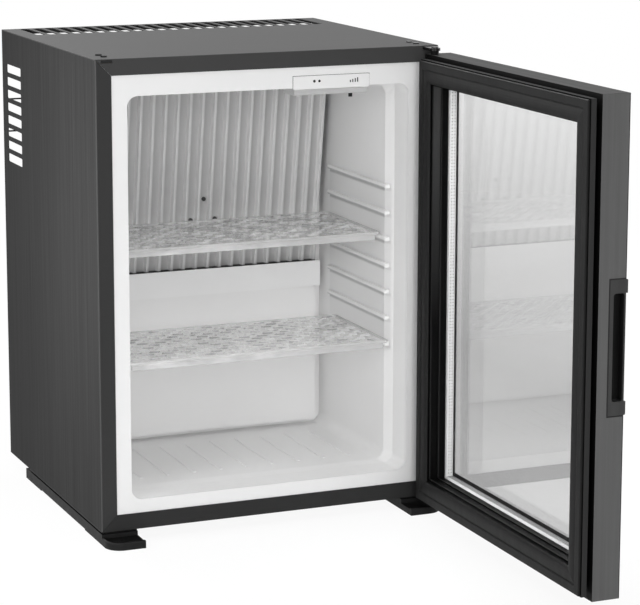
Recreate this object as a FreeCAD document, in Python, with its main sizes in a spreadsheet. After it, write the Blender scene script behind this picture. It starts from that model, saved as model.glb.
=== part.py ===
import FreeCAD, Part
import math
import os

import Sketcher
from FreeCAD import Placement, Rotation, Vector

# A hotel minibar: an insulated steel cabinet with an absorption cooling unit on its open back
# and a double glazed door hung on two pins. It is drawn with the door open.
# X runs to the right, Y to the back and Z up. While it is drawn, zero is the casing's lower
# front left corner, and the door is drawn shut. Every piece is then placed in the part's frame.

SIZES = {
    # general clearances
    "overrun": 5.0,
    "fit_gap": 0.3,
    "seam_gap": 0.2,
    "press_gap": 0.02,
    "running_gap": 0.06,
    # painted sheet casing
    "casing_width": 402.0,
    "casing_height": 520.0,
    "sheet": 1.0,
    "side_fold": 1.7,
    "top_fold": 0.85,
    "front_flange": 18.0,
    "rear_hem": 9.0,
    "rear_lip": 5.5,
    "insulated_depth": 280.0,
    "rear_space": 82.0,
    # vents of the rear compartment
    "side_vent_pitch": 15.2,
    "side_vent_height": 10.0,
    "side_vent_length": 58.0,
    "side_vent_rear_margin": 19.0,
    "side_vent_top_drop": 39.0,
    "top_vent_pitch": 15.25,
    "top_vent_width": 10.3,
    "top_vent_length": 74.0,
    "top_vent_rear_margin": 5.0,
    "top_vent_side_margin": 20.0,
    "vent_corner": 2.0,
    # formed plastic liner
    "liner_wall": 2.0,
    "liner_flange_inset": 6.0,
    "mouth_side_margin": 35.5,
    "mouth_bottom": 33.0,
    "mouth_top_margin": 41.0,
    "mouth_depth": 38.0,
    "mouth_taper": 14.0,
    "mouth_corner": 12.0,
    "side_insulation": 41.0,
    "chamber_bottom": 34.0,
    "top_insulation": 47.0,
    "back_insulation": 35.0,
    "rail_first": 170.0,
    "rail_pitch": 30.6,
    "rail_thickness": 5.0,
    "rail_reach": 5.0,
    "rail_front": 40.0,
    "rail_back_gap": 35.0,
    "back_panel_side_gap": 10.0,
    "back_panel_bottom": 40.0,
    "back_panel_tray_gap": 1.0,
    "back_panel_raise": 12.0,
    "back_panel_corner": 6.0,
    "floor_rib_pitch": 32.0,
    "floor_rib_width": 3.0,
    "floor_rib_raise": 0.8,
    "floor_rib_front": 78.0,
    "floor_rib_back_gap": 45.0,
    "floor_rib_side_gap": 22.0,
    # foam above the liner stops below the hinge plates
    "hinge_space": 4.0,
    # cold plate and its pieces, drawn in a frame that leans forward at the top
    "fin_pitch": 15.3,
    "fin_raise": 6.0,
    "plate_sheet": 1.2,
    "plate_height": 240.0,
    "plate_top_gap": 3.0,
    "plate_side_gap": 6.5,
    "cold_block_width": 80.0,
    "cold_block_thickness": 9.0,
    "cold_block_bottom": 60.0,
    "cold_block_top_gap": 26.0,
    "cold_tube": 12.0,
    "cold_tube_drop": 40.0,
    "cold_tube_spacing": 35.0,
    "cold_tube_side_gap": 43.0,
    "cold_tube_bend": 10.0,
    "cold_tube_return_bend": 17.0,
    "plate_screw": 4.0,
    "plate_screw_head": 5.0,
    "plate_screw_head_height": 1.8,
    "plate_screw_length": 7.0,
    "plate_screw_low": 66.0,
    "plate_screw_rise": 25.5,
    # drip tray under the cold plate
    "tray_depth": 17.0,
    "tray_gap": 3.0,
    "tray_rise": 5.5,
    "tray_height": 31.0,
    "tray_wall": 1.6,
    "tray_side_gap": 6.0,
    # control box over the mouth
    "control_right_margin": 84.0,
    "control_width": 91.0,
    "control_drop": 42.7,
    "control_height": 14.7,
    "control_depth": 35.0,
    "control_setback": 0.2,
    "control_corner": 1.5,
    "lens_height": 6.8,
    "lens_margin": 2.0,
    "lens_depth": 32.0,
    "button": 3.0,
    "button_length": 4.0,
    "button_proud": 0.2,
    "button_travel": 1.0,
    "button_inset": 25.0,
    "button_rise": 8.6,
    "lamp_spacing": 6.0,
    "sensor": 4.5,
    "sensor_length": 5.5,
    "sensor_inset": 16.0,
    # skids with toes that carry the lower hinge pin
    "skid_height": 14.0,
    "skid_width": 41.5,
    "skid_overhang": 15.0,
    "skid_heel_width": 30.0,
    "toe_reach": 28.0,
    "toe_thickness": 8.6,
    "toe_corner": 18.0,
    "toe_edge": 2.0,
    "toe_rim": 3.6,
    "toe_dish": 1.6,
    "toe_boss": 11.0,
    "skid_groove": 2.2,
    "skid_groove_depth": 3.0,
    "pad_length": 62.0,
    "pad_height": 1.2,
    "skid_screw": 4.0,
    "skid_screw_head": 8.0,
    "skid_screw_head_height": 3.0,
    "skid_screw_length": 9.0,
    "skid_screw_inset": 17.0,
    "skid_screw_margin": 45.0,
    # hinges
    "hinge_inset": 13.0,
    "hinge_reach": 19.0,
    "hinge_pin": 4.0,
    "hinge_pin_engagement": 9.0,
    "pin_floor": 3.0,
    "hinge_pin_head": 8.0,
    "hinge_pin_head_height": 1.5,
    "hinge_plate_thickness": 3.0,
    "hinge_plate_width": 28.0,
    "hinge_plate_back": 52.0,
    "hinge_plate_front": 4.0,
    "hinge_arm_width": 12.0,
    "hinge_screw": 4.0,
    "hinge_screw_head": 7.0,
    "hinge_screw_head_height": 1.2,
    "hinge_screw_inset": 17.0,
    "hinge_screw_first": 22.0,
    "hinge_screw_spacing": 18.0,
    "slot_plug_depth": 10.0,
    "bush_diameter": 7.0,
    "bush_length": 10.0,
    "bush_flange": 9.0,
    # door
    "door_bottom": -1.5,
    "door_top_gap": 8.5,
    "gasket_gap": 0.4,
    "gasket_thickness": 3.1,
    "gasket_inset": 4.5,
    "gasket_hinge_inset": 10.0,
    "gasket_width": 20.0,
    "trim_thickness": 10.0,
    "trim_groove": 4.0,
    "trim_groove_inset": 14.0,
    "trim_step": 2.0,
    "trim_step_depth": 4.0,
    "trim_rib": 1.5,
    "trim_rib_spacing": 11.0,
    "sight_inset": 32.0,
    "frame_depth": 31.0,
    "frame_width": 24.0,
    "frame_wall": 1.6,
    "frame_lip": 6.5,
    "pane": 3.2,
    "pane_gap": 8.4,
    "pane_edge_gap": 0.8,
    "spacer_inset": 26.0,
    "spacer_width": 7.0,
    "handle_height": 138.0,
    "handle_width": 20.0,
    "handle_rise": 3.0,
    "handle_gap": 0.8,
    "handle_proud": 2.0,
    "handle_depth": 13.0,
    "handle_lip": 3.4,
    "handle_wall": 2.5,
    "handle_corner": 3.0,
    "grip_height": 110.0,
    "grip_width": 12.5,
    # shelves
    "shelf_back_gap": 30.0,
    "shelf_side_gap": 1.0,
    "shelf_plate": 3.0,
    "shelf_lip": 9.0,
    "shelf_lip_wall": 2.4,
    "shelf_rest_gap": 0.2,
    "lower_shelf_front": 36.0,
    "upper_shelf_front": 60.0,
    # absorption unit on the back
    "unit_back_gap": 11.0,
    "boiler_diameter": 66.0,
    "boiler_bottom": 70.0,
    "boiler_top_drop": 182.0,
    "boiler_jacket": 1.0,
    "boiler_tube": 18.0,
    "boiler_side_inset": 72.0,
    "heater_diameter": 10.0,
    "heater_length": 120.0,
    "heater_spacing": 16.0,
    "strap_height": 46.0,
    "strap_thickness": 2.0,
    "strap_foot_width": 50.0,
    "condenser_tube": 14.0,
    "condenser_drop": 52.0,
    "condenser_bend": 22.0,
    "tail_bend": 8.5,
    "condenser_fin_pitch": 8.0,
    "condenser_fin_sheet": 0.8,
    "condenser_fin_width": 48.0,
    "condenser_fin_margin": 34.0,
    "absorber_tube": 14.0,
    "absorber_bottom": 137.0,
    "absorber_spacing": 36.0,
    "absorber_bend": 17.5,
    "absorber_gap": 51.0,
    "unit_left": 100.0,
    "vessel_diameter": 52.0,
    "vessel_height": 70.0,
    "vessel_left": 78.0,
    "vessel_gap": 23.0,
    "saddle_width": 14.0,
    "saddle_inset": 26.0,
    "saddle_height": 30.0,
    "driver_width": 106.0,
    "driver_height": 50.0,
    "driver_depth": 54.0,
    "driver_side_gap": 12.0,
    "driver_bottom": 6.0,
    "driver_corner": 4.0,
    "gland_diameter": 15.0,
    "gland_length": 11.0,
    "gland_bore": 7.0,
    "gland_inset": 18.0,
    "guard_rod": 2.0,
    "guard_rod_setback": 3.0,
    "guard_rod_drop": 120.5,
    "guard_rod_spacing": 38.5,
}

# angles: how far the cold plate leans forward, and how far the door stands open
PLATE_LEAN_DEGREES = 9
DOOR_OPEN_DEGREES = 90
# two places nearer than this are the same place
SAME = 1e-6
# how many of each repeated thing there are
SIDE_VENTS = 8
RAILS = 7
ABSORBER_PASSES = 5
# the shelves lie on these rails, counted from the lowest
LOWER_SHELF_RAIL_INDEX = 0
UPPER_SHELF_RAIL_INDEX = 4
# places along one fin's pitch and height where its sheet bends, from base to crest and back
FIN_SHARES = (
    (0.56, 0.0),
    (0.59, 0.12),
    (0.665, 0.88),
    (0.695, 1.0),
    (0.875, 1.0),
    (0.905, 0.88),
    (0.97, 0.12),
    (1.0, 0.0),
)
# how round a shelf rail is for its thickness
RAIL_ROUND_SHARE = 0.45

doc = FreeCAD.newDocument("MinibarCabinet")
sheet = doc.addObject("Spreadsheet::Sheet", "Sizes")


class Size:
    """A size with its value and the sheet expression that gives it."""

    def __init__(self, value, text):
        self.value = float(value)
        self.text = text

    def __float__(self):
        return self.value

    def __add__(self, other):
        other = as_size(other)
        return Size(self.value + other.value, f"({self.text} + {other.text})")

    def __sub__(self, other):
        other = as_size(other)
        return Size(self.value - other.value, f"({self.text} - {other.text})")

    def __rsub__(self, other):
        return as_size(other) - self

    def __mul__(self, factor):
        factor = as_size(factor)
        return Size(self.value * factor.value, f"({self.text} * {factor.text})")

    def __truediv__(self, factor):
        factor = as_size(factor)
        return Size(self.value / factor.value, f"({self.text} / {factor.text})")

    def __neg__(self):
        return Size(-self.value, f"(-{self.text})")

    __radd__ = __add__
    __rmul__ = __mul__


def as_size(number):
    return number if isinstance(number, Size) else Size(number, f"{float(number)}")


class Named:
    """The named sizes, read back from the sheet."""


S = Named()
for row, (name, value) in enumerate(SIZES.items(), start=1):
    sheet.set(f"A{row}", name)
    sheet.set(f"B{row}", f"{value}")
    sheet.setAlias(f"B{row}", name)
doc.recompute()
for name in SIZES:
    setattr(S, name, Size(sheet.get(name), f"Sizes.{name}"))

ZERO = as_size(0)
PARTS = []

# sizes and places that follow from the named ones

CASING_DEPTH = S.insulated_depth + S.rear_space
MIDDLE = S.casing_width / 2
MOUTH_TOP = S.casing_height - S.mouth_top_margin
CHAMBER_LEFT = S.side_insulation
CHAMBER_RIGHT = S.casing_width - S.side_insulation
CHAMBER_TOP = S.casing_height - S.top_insulation
CHAMBER_BACK = S.insulated_depth - S.back_insulation
CONTROL_BOTTOM = S.casing_height - S.control_drop
PLATE_RISE = S.plate_height * math.cos(math.radians(PLATE_LEAN_DEGREES))
PLATE_BOTTOM = CHAMBER_TOP - S.plate_top_gap - PLATE_RISE
TRAY_TOP = PLATE_BOTTOM + S.tray_rise
TRAY_BOTTOM = TRAY_TOP - S.tray_height
SKID_LENGTH = S.insulated_depth + S.skid_overhang
UNIT_Y = CASING_DEPTH - S.unit_back_gap - S.boiler_diameter / 2
BOILER_X = S.casing_width - S.boiler_side_inset
BOILER_TOP = S.casing_height - S.boiler_top_drop
CONDENSER_HEIGHT = S.casing_height - S.condenser_drop


def copies(room, width, pitch):
    """How many copies of a width fit side by side in a room at a pitch."""
    return int((float(room) - float(width)) / float(pitch)) + 1


TOP_VENTS = copies(S.casing_width - S.top_vent_side_margin * 2, S.top_vent_width, S.top_vent_pitch)
FINS = copies(CHAMBER_RIGHT - CHAMBER_LEFT - S.plate_side_gap * 2, S.fin_pitch, S.fin_pitch)
FLOOR_RIBS = copies(
    CHAMBER_RIGHT - CHAMBER_LEFT - S.floor_rib_side_gap * 2, S.floor_rib_width, S.floor_rib_pitch
)


# basic solids


def bind(obj, prop, size):
    obj.setExpression(prop, as_size(size).text)


def bind_base(obj, x, y, z):
    bind(obj, "Placement.Base.x", x)
    bind(obj, "Placement.Base.y", y)
    bind(obj, "Placement.Base.z", z)


def block(x, y, z):
    """A box between two places on each axis."""
    obj = doc.addObject("Part::Box", "Block")
    bind(obj, "Length", x[1] - x[0])
    bind(obj, "Width", y[1] - y[0])
    bind(obj, "Height", z[1] - z[0])
    bind_base(obj, x[0], y[0], z[0])
    return obj


AXIS_TURNS = {"x": Rotation(Vector(0, 1, 0), 90), "y": Rotation(Vector(1, 0, 0), -90), "z": Rotation()}


def rod(axis, start, end, across, diameter):
    """A round bar along an axis; across gives its place on the other two axes, in order."""
    obj = doc.addObject("Part::Cylinder", "Rod")
    bind(obj, "Radius", diameter / 2)
    bind(obj, "Height", end - start)
    obj.Placement = Placement(Vector(), AXIS_TURNS[axis])
    places = list(across)
    places.insert("xyz".index(axis), start)
    bind_base(obj, *places)
    return obj


def fuse(*solids):
    if len(solids) == 1:
        return solids[0]
    obj = doc.addObject("Part::MultiFuse", "Fusion")
    obj.Shapes = list(solids)
    obj.Refine = True
    return obj


def cut(base, *tools):
    obj = doc.addObject("Part::Cut", "Cut")
    obj.Base = base
    obj.Tool = fuse(*tools)
    obj.Refine = True
    return obj


def common(first, second):
    obj = doc.addObject("Part::Common", "Common")
    obj.Base = first
    obj.Tool = second
    return obj


def group(*solids):
    """Separate solids kept in one node."""
    obj = doc.addObject("Part::Compound", "Group")
    obj.Links = list(solids)
    return obj


def rounded(base, radius, wanted):
    """Round the edges that the test picks, which gets the two end points of each edge."""
    doc.recompute()
    obj = doc.addObject("Part::Fillet", "Rounding")
    obj.Base = base
    picked = []
    for number, edge in enumerate(base.Shape.Edges, start=1):
        if len(edge.Vertexes) == 2 and wanted(edge.Vertexes[0].Point, edge.Vertexes[1].Point):
            picked.append((number, float(radius), float(radius)))
    obj.Edges = picked
    return obj


def runs_along(axis):
    """A test for straight edges along one axis."""
    others = [number for number in range(3) if number != "xyz".index(axis)]
    return lambda a, b: all(abs(a[number] - b[number]) < SAME for number in others)


def slot_corners(axis, rear, length):
    """A test for the corner edges of slots that pass through a sheet."""
    along = runs_along(axis)
    first = float(rear - length - S.sheet)
    last = float(rear + S.sheet)
    return lambda a, b: along(a, b) and first < a.y < last


PLANES = {"xy": "XY_Plane", "xz": "XZ_Plane", "yz": "YZ_Plane"}


def pad(plane, loops, start, end):
    """A body padded from closed outlines of points, between two places on the plane's normal axis."""
    body = doc.addObject("PartDesign::Body", "Body")
    origin = next(item for item in body.Origin.OriginFeatures if item.Role == PLANES[plane])
    sketch = body.newObject("Sketcher::SketchObject", "Outline")
    sketch.AttachmentSupport = (origin, [""])
    sketch.MapMode = "FlatFace"
    # the front plane's normal points to the front, so places on it count backwards
    facing_front = plane == "xz"
    bind(sketch, "AttachmentOffset.Base.z", -start if facing_front else start)
    for points in loops:
        draw_loop(sketch, points)
    feature = body.newObject("PartDesign::Pad", "Pad")
    feature.Profile = sketch
    bind(feature, "Length", end - start)
    feature.Reversed = facing_front
    return body


def draw_loop(sketch, points):
    """A closed outline of straight lines whose corners are tied to the sheet."""
    first = sketch.GeometryCount
    spots = [Vector(float(x), float(y), 0) for x, y in points]
    for here, there in zip(spots, spots[1:] + spots[:1]):
        sketch.addGeometry(Part.LineSegment(here, there))
    for number, (x, y) in enumerate(points):
        line = first + number
        before = first + (number - 1) % len(points)
        sketch.addConstraint(Sketcher.Constraint("Coincident", before, 2, line, 1))
        for kind, size in (("DistanceX", x), ("DistanceY", y)):
            place = sketch.addConstraint(Sketcher.Constraint(kind, -1, 1, line, 1, float(size)))
            sketch.setExpression(f"Constraints[{place}]", as_size(size).text)


def rectangle(x, y):
    return [(x[0], y[0]), (x[1], y[0]), (x[1], y[1]), (x[0], y[1])]


def round_tube(points, diameter, bends):
    """A round bar along straight runs joined by tangent arcs, one bend radius for each inner point."""
    spots = [Vector(*(float(place) for place in point)) for point in points]
    edges = []
    last = spots[0]
    for before, corner, after, bend in zip(spots, spots[1:], spots[2:], bends):
        inward = (before - corner).normalize()
        outward = (after - corner).normalize()
        half = inward.getAngle(outward) / 2
        setback = float(bend) / math.tan(half)
        middle = (inward + outward).normalize()
        arc_start = corner + inward * setback
        arc_end = corner + outward * setback
        arc_middle = corner + middle * (float(bend) / math.sin(half) - float(bend))
        edges.append(Part.LineSegment(last, arc_start).toShape())
        edges.append(Part.Arc(arc_start, arc_middle, arc_end).toShape())
        last = arc_end
    edges.append(Part.LineSegment(last, spots[-1]).toShape())
    path = Part.Wire(edges)
    section = Part.Wire(Part.makeCircle(float(diameter) / 2, spots[0], spots[1] - spots[0]))
    obj = doc.addObject("Part::Feature", "Tube")
    obj.Shape = path.makePipeShell([section], True, False)
    return obj


# the part's frame: its origin is below the middle of the box round the open cabinet

HINGE_X = S.casing_width - S.hinge_inset
HINGE_Y = -S.hinge_reach
DOOR_BACK = -(S.gasket_gap + S.gasket_thickness + S.trim_thickness)
DOOR_FRONT = DOOR_BACK - S.frame_depth
DOOR_TOP = S.casing_height - S.door_top_gap
OPEN_RIGHT = HINGE_X + HINGE_Y - DOOR_FRONT + S.handle_proud
OPEN_FRONT = HINGE_Y - HINGE_X
TO_FRAME = Placement(
    Vector(
        float(-OPEN_RIGHT / 2),
        float(-(OPEN_FRONT + CASING_DEPTH) / 2),
        float(S.skid_height),
    ),
    Rotation(),
)
HINGE = Vector(float(HINGE_X), float(HINGE_Y), 0)
SWING = Placement(Vector(), Rotation(Vector(0, 0, 1), DOOR_OPEN_DEGREES), HINGE)


def movable(obj):
    """The sheet holds a bare bar or box in its place, so it is wrapped before it is moved."""
    return group(obj) if obj.TypeId in ("Part::Box", "Part::Cylinder") else obj


def keep(label, obj):
    """Give a finished piece of the cabinet its name and its place in the part's frame."""
    obj = movable(obj)
    obj.Label = label
    obj.Placement = TO_FRAME.multiply(obj.Placement)
    PARTS.append(obj)


def keep_on_door(label, obj):
    """Give a finished piece of the door its name and its place on the open door."""
    obj = movable(obj)
    obj.Label = label
    obj.Placement = TO_FRAME.multiply(SWING).multiply(obj.Placement)
    PARTS.append(obj)


# casing


def side_panel(label, mirrored):
    """A side with a mitred front flange, a hem along its rear edge and a row of vents."""

    def across(*places):
        if mirrored:
            return tuple(S.casing_width - place for place in reversed(places))
        return places

    low = S.sheet
    high = S.casing_height - S.sheet
    web = block(across(ZERO, S.sheet), (ZERO, CASING_DEPTH), (low, high))
    hem_end = CASING_DEPTH
    hem = block(across(S.sheet, S.sheet * 2), (hem_end - S.rear_hem, hem_end), (low, high))
    near, far = S.sheet, S.front_flange
    corners = [
        (near, near + S.seam_gap),
        (far, far + S.seam_gap),
        (far, S.casing_height - far - S.seam_gap),
        (near, S.casing_height - near - S.seam_gap),
    ]
    if mirrored:
        corners = [(S.casing_width - x, z) for x, z in corners]
    flange = pad("xz", [corners], ZERO, S.sheet)
    rear = CASING_DEPTH - S.side_vent_rear_margin
    slots = []
    for number in range(SIDE_VENTS):
        top = S.casing_height - S.side_vent_top_drop - S.side_vent_pitch * number
        length = (rear - S.side_vent_length, rear)
        through = across(-S.overrun, S.sheet + S.overrun)
        slots.append(block(through, length, (top - S.side_vent_height, top)))
    panel = cut(fuse(web, hem, flange), *slots)
    panel = rounded(panel, S.vent_corner, slot_corners("x", rear, S.side_vent_length))
    outside = float(S.casing_width) if mirrored else 0.0
    upright = runs_along("z")

    def front_fold(a, b):
        return upright(a, b) and abs(a.x - outside) < SAME and abs(a.y) < SAME

    keep(label, rounded(panel, S.side_fold, front_fold))


side_panel("side_panel_left", False)
side_panel("side_panel_right", True)


def wide_flange(outer, inner):
    """The mitred front flange of the top or bottom panel, between its two heights."""
    reach = S.front_flange + S.seam_gap
    start = S.sheet + S.seam_gap
    corners = [
        (start, outer),
        (S.casing_width - start, outer),
        (S.casing_width - reach, inner),
        (reach, inner),
    ]
    return pad("xz", [corners], ZERO, S.sheet)


def hinge_screw_places(from_left):
    """Where the screws of a hinge plate pass the top panel."""
    x = S.hinge_screw_inset if from_left else S.casing_width - S.hinge_screw_inset
    return [(x, S.hinge_screw_first), (x, S.hinge_screw_first + S.hinge_screw_spacing)]


def top_panel():
    low = S.casing_height - S.sheet
    width = (ZERO, S.casing_width)
    skin = block(width, (ZERO, CASING_DEPTH), (low, S.casing_height))
    flange = wide_flange(low, S.casing_height - S.front_flange)
    lip_width = (S.sheet * 2 + S.seam_gap, S.casing_width - S.sheet * 2 - S.seam_gap)
    lip = block(lip_width, (CASING_DEPTH - S.sheet, CASING_DEPTH), (low - S.rear_lip, low))
    tools = []
    rear = CASING_DEPTH - S.top_vent_rear_margin
    row_width = S.top_vent_pitch * (TOP_VENTS - 1) + S.top_vent_width
    for number in range(TOP_VENTS):
        left = (S.casing_width - row_width) / 2 + S.top_vent_pitch * number
        length = (rear - S.top_vent_length, rear)
        depth = (low - S.sheet, S.casing_height + S.overrun)
        tools.append(block((left, left + S.top_vent_width), length, depth))
    half_arm = S.hinge_arm_width / 2 + S.fit_gap
    arm_drop = S.hinge_plate_thickness + S.fit_gap
    through = (-S.overrun, S.sheet + S.overrun)
    for centre in (S.hinge_inset, S.casing_width - S.hinge_inset):
        tools.append(block((centre - half_arm, centre + half_arm), through, (low - arm_drop, low)))
    for place in hinge_screw_places(True) + hinge_screw_places(False):
        hole = S.hinge_screw + S.fit_gap
        tools.append(rod("z", low - S.overrun, S.casing_height + S.overrun, place, hole))
    panel = cut(fuse(skin, flange, lip), *tools)
    panel = rounded(panel, S.vent_corner, slot_corners("z", rear, S.top_vent_length))
    top = float(S.casing_height)
    across = runs_along("x")

    def front_fold(a, b):
        return across(a, b) and abs(a.z - top) < SAME and abs(a.y) < SAME

    keep("top_panel", rounded(panel, S.top_fold, front_fold))


def skid_screw_places(mirrored):
    x = S.casing_width - S.skid_screw_inset if mirrored else S.skid_screw_inset
    return [(x, S.skid_screw_margin), (x, SKID_LENGTH - S.skid_screw_margin)]


ALL_SKID_SCREWS = skid_screw_places(False) + skid_screw_places(True)


def bottom_panel():
    skin = block((ZERO, S.casing_width), (ZERO, S.insulated_depth), (ZERO, S.sheet))
    flange = wide_flange(S.sheet, S.front_flange)
    holes = []
    for place in ALL_SKID_SCREWS:
        holes.append(rod("z", -S.overrun, S.overrun, place, S.skid_screw + S.fit_gap))
    keep("bottom_panel", cut(fuse(skin, flange), *holes))


top_panel()
bottom_panel()

# cold plate: places in its leaning frame, whose zero is the plate's lower rear edge

PLATE_BACK = CHAMBER_BACK - S.fit_gap
PLATE_LEFT = MIDDLE - S.fin_pitch * FINS / 2
LEANING = Placement(
    Vector(0, float(PLATE_BACK), float(PLATE_BOTTOM)),
    Rotation(Vector(1, 0, 0), PLATE_LEAN_DEGREES),
)


def leaned(y, z):
    """A place on the leaning plate, given in the casing's own axes."""
    spot = LEANING.multVec(Vector(0, float(y), float(z)))
    return spot.y, spot.z


COLD_TUBE_Y = S.fit_gap * 2 + S.cold_block_thickness + S.cold_tube / 2
HIGH_RUN = leaned(COLD_TUBE_Y, S.plate_height - S.cold_tube_drop)
LOW_RUN = leaned(COLD_TUBE_Y, S.plate_height - S.cold_tube_drop - S.cold_tube_spacing)
TUBE_END = S.insulated_depth + (UNIT_Y - S.insulated_depth) / 2


def cold_tube_holes():
    """Clearance for the two ends of the cold tube where they pass the insulated back."""
    passages = []
    for height in (LOW_RUN[1], HIGH_RUN[1]):
        start = CHAMBER_BACK - S.overrun
        end = S.insulated_depth + S.overrun
        passages.append(rod("y", start, end, (S.unit_left, height), S.cold_tube + S.fit_gap * 2))
    return passages


def rear_wall():
    skin = block(
        (S.sheet, S.casing_width - S.sheet),
        (S.insulated_depth - S.sheet, S.insulated_depth),
        (S.sheet, S.casing_height - S.sheet),
    )
    keep("rear_wall", cut(skin, *cold_tube_holes()))


rear_wall()

# liner and foam

LINER_FRONT = S.sheet


def rounded_section(y, left, right, low, high, radius):
    """A rounded rectangle standing across the cabinet, as a sketch for a loft."""
    sketch = doc.addObject("Sketcher::SketchObject", "Section")
    sketch.Placement = Placement(Vector(), Rotation(Vector(1, 0, 0), 90))
    bind(sketch, "Placement.Base.y", y)
    x0, x1, z0, z1, r = (float(size) for size in (left, right, low, high, radius))
    quarter = math.pi / 2
    centres = [
        (x1 - r, z0 + r, -quarter),
        (x1 - r, z1 - r, 0),
        (x0 + r, z1 - r, quarter),
        (x0 + r, z0 + r, 2 * quarter),
    ]
    starts = [(x0 + r, z0), (x1, z0 + r), (x1 - r, z1), (x0, z1 - r)]
    ends = [(x1 - r, z0), (x1, z1 - r), (x0 + r, z1), (x0, z0 + r)]
    for start, end, (cx, cz, angle) in zip(starts, ends, centres):
        sketch.addGeometry(Part.LineSegment(Vector(*start, 0), Vector(*end, 0)))
        circle = Part.Circle(Vector(cx, cz, 0), Vector(0, 0, 1), r)
        sketch.addGeometry(Part.ArcOfCircle(circle, angle, angle + quarter))
    edges = (("DistanceY", low), ("DistanceX", right), ("DistanceY", high), ("DistanceX", left))
    for line in range(0, 8, 2):
        arc = line + 1
        following = (line + 2) % 8
        sketch.addConstraint(Sketcher.Constraint("Tangent", line, 2, arc, 1))
        sketch.addConstraint(Sketcher.Constraint("Tangent", arc, 2, following, 1))
        flat = "Horizontal" if line % 4 == 0 else "Vertical"
        sketch.addConstraint(Sketcher.Constraint(flat, line))
        kind, size = edges[line // 2]
        place = sketch.addConstraint(Sketcher.Constraint(kind, -1, 1, line, 1, float(size)))
        sketch.setExpression(f"Constraints[{place}]", as_size(size).text)
        if line:
            sketch.addConstraint(Sketcher.Constraint("Equal", 1, arc))
    place = sketch.addConstraint(Sketcher.Constraint("Radius", 1, r))
    sketch.setExpression(f"Constraints[{place}]", as_size(radius).text)
    return sketch


def chamber(grow, front, back):
    """The inside of the cabinet, a wide mouth that tapers to the chamber, grown by a wall."""
    corner = S.mouth_corner + grow
    side = S.mouth_side_margin - grow
    mouth = (side, S.casing_width - side, S.mouth_bottom - grow, MOUTH_TOP + grow)
    room = (CHAMBER_LEFT - grow, CHAMBER_RIGHT + grow, S.chamber_bottom - grow, CHAMBER_TOP + grow)
    sections = [
        rounded_section(front, *mouth, corner),
        rounded_section(S.mouth_depth, *mouth, corner),
        rounded_section(S.mouth_depth + S.mouth_taper, *room, corner),
        rounded_section(back, *room, corner),
    ]
    loft = doc.addObject("Part::Loft", "Chamber")
    loft.Sections = sections
    loft.Solid = True
    loft.Ruled = True
    return loft


CONTROL_RIGHT = S.casing_width - S.control_right_margin
CONTROL_X = (CONTROL_RIGHT - S.control_width, CONTROL_RIGHT)
CONTROL_Y = (S.control_setback, S.control_setback + S.control_depth)
CONTROL_Z = (CONTROL_BOTTOM, CONTROL_BOTTOM + S.control_height)


def grown(span, gap):
    return span[0] - gap, span[1] + gap


def about(centre, size):
    return centre - size / 2, centre + size / 2


def control_space(gap):
    """The notch in the liner and the foam round the control box."""
    height = (CONTROL_Z[0] - S.overrun, CONTROL_Z[1] + gap)
    return block(grown(CONTROL_X, gap), (-S.overrun, CONTROL_Y[1] + gap), height)


def rail_top(number):
    return S.rail_first + S.rail_pitch * number + S.rail_thickness


def shelf_rail(mirrored, number):
    """A moulded rail on a side wall, round on its free edges and ends."""
    wall = CHAMBER_RIGHT + S.liner_wall / 2 if mirrored else CHAMBER_LEFT - S.liner_wall / 2
    edge = CHAMBER_RIGHT - S.rail_reach if mirrored else CHAMBER_LEFT + S.rail_reach
    span = (edge, wall) if mirrored else (wall, edge)
    high = rail_top(number)
    low = high - S.rail_thickness
    bar = block(span, (S.rail_front, CHAMBER_BACK - S.rail_back_gap), (low, high))
    root = float(wall)
    return rounded(
        bar,
        S.rail_thickness * RAIL_ROUND_SHARE,
        lambda a, b: abs(a.x - root) > SAME or abs(b.x - root) > SAME,
    )


def floor_rib(number):
    """A low rib along the floor of the chamber."""
    left = MIDDLE + S.floor_rib_pitch * (number - (FLOOR_RIBS - 1) / 2) - S.floor_rib_width / 2
    return block(
        (left, left + S.floor_rib_width),
        (S.floor_rib_front, CHAMBER_BACK - S.floor_rib_back_gap),
        (S.chamber_bottom - S.liner_wall / 2, S.chamber_bottom + S.floor_rib_raise),
    )


def liner():
    flange = block(
        (S.liner_flange_inset, S.casing_width - S.liner_flange_inset),
        (LINER_FRONT, LINER_FRONT + S.liner_wall),
        (S.liner_flange_inset, S.casing_height - S.liner_flange_inset),
    )
    tub = chamber(S.liner_wall, LINER_FRONT, CHAMBER_BACK + S.liner_wall)
    hollow = chamber(ZERO, -S.overrun, CHAMBER_BACK)
    shell = cut(fuse(flange, tub), hollow)
    panel_face = CHAMBER_BACK - S.back_panel_raise
    panel = block(
        grown((CHAMBER_LEFT, CHAMBER_RIGHT), -S.back_panel_side_gap),
        (panel_face, CHAMBER_BACK + S.liner_wall / 2),
        (S.back_panel_bottom, TRAY_BOTTOM - S.back_panel_tray_gap),
    )
    panel = rounded(panel, S.back_panel_corner, runs_along("y"))
    rails = []
    for mirrored in (False, True):
        for number in range(RAILS):
            rails.append(shelf_rail(mirrored, number))
    ribs = [floor_rib(number) for number in range(FLOOR_RIBS)]
    keep("liner", cut(fuse(shell, panel, *rails, *ribs), control_space(S.fit_gap), *cold_tube_holes()))


liner()


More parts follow.
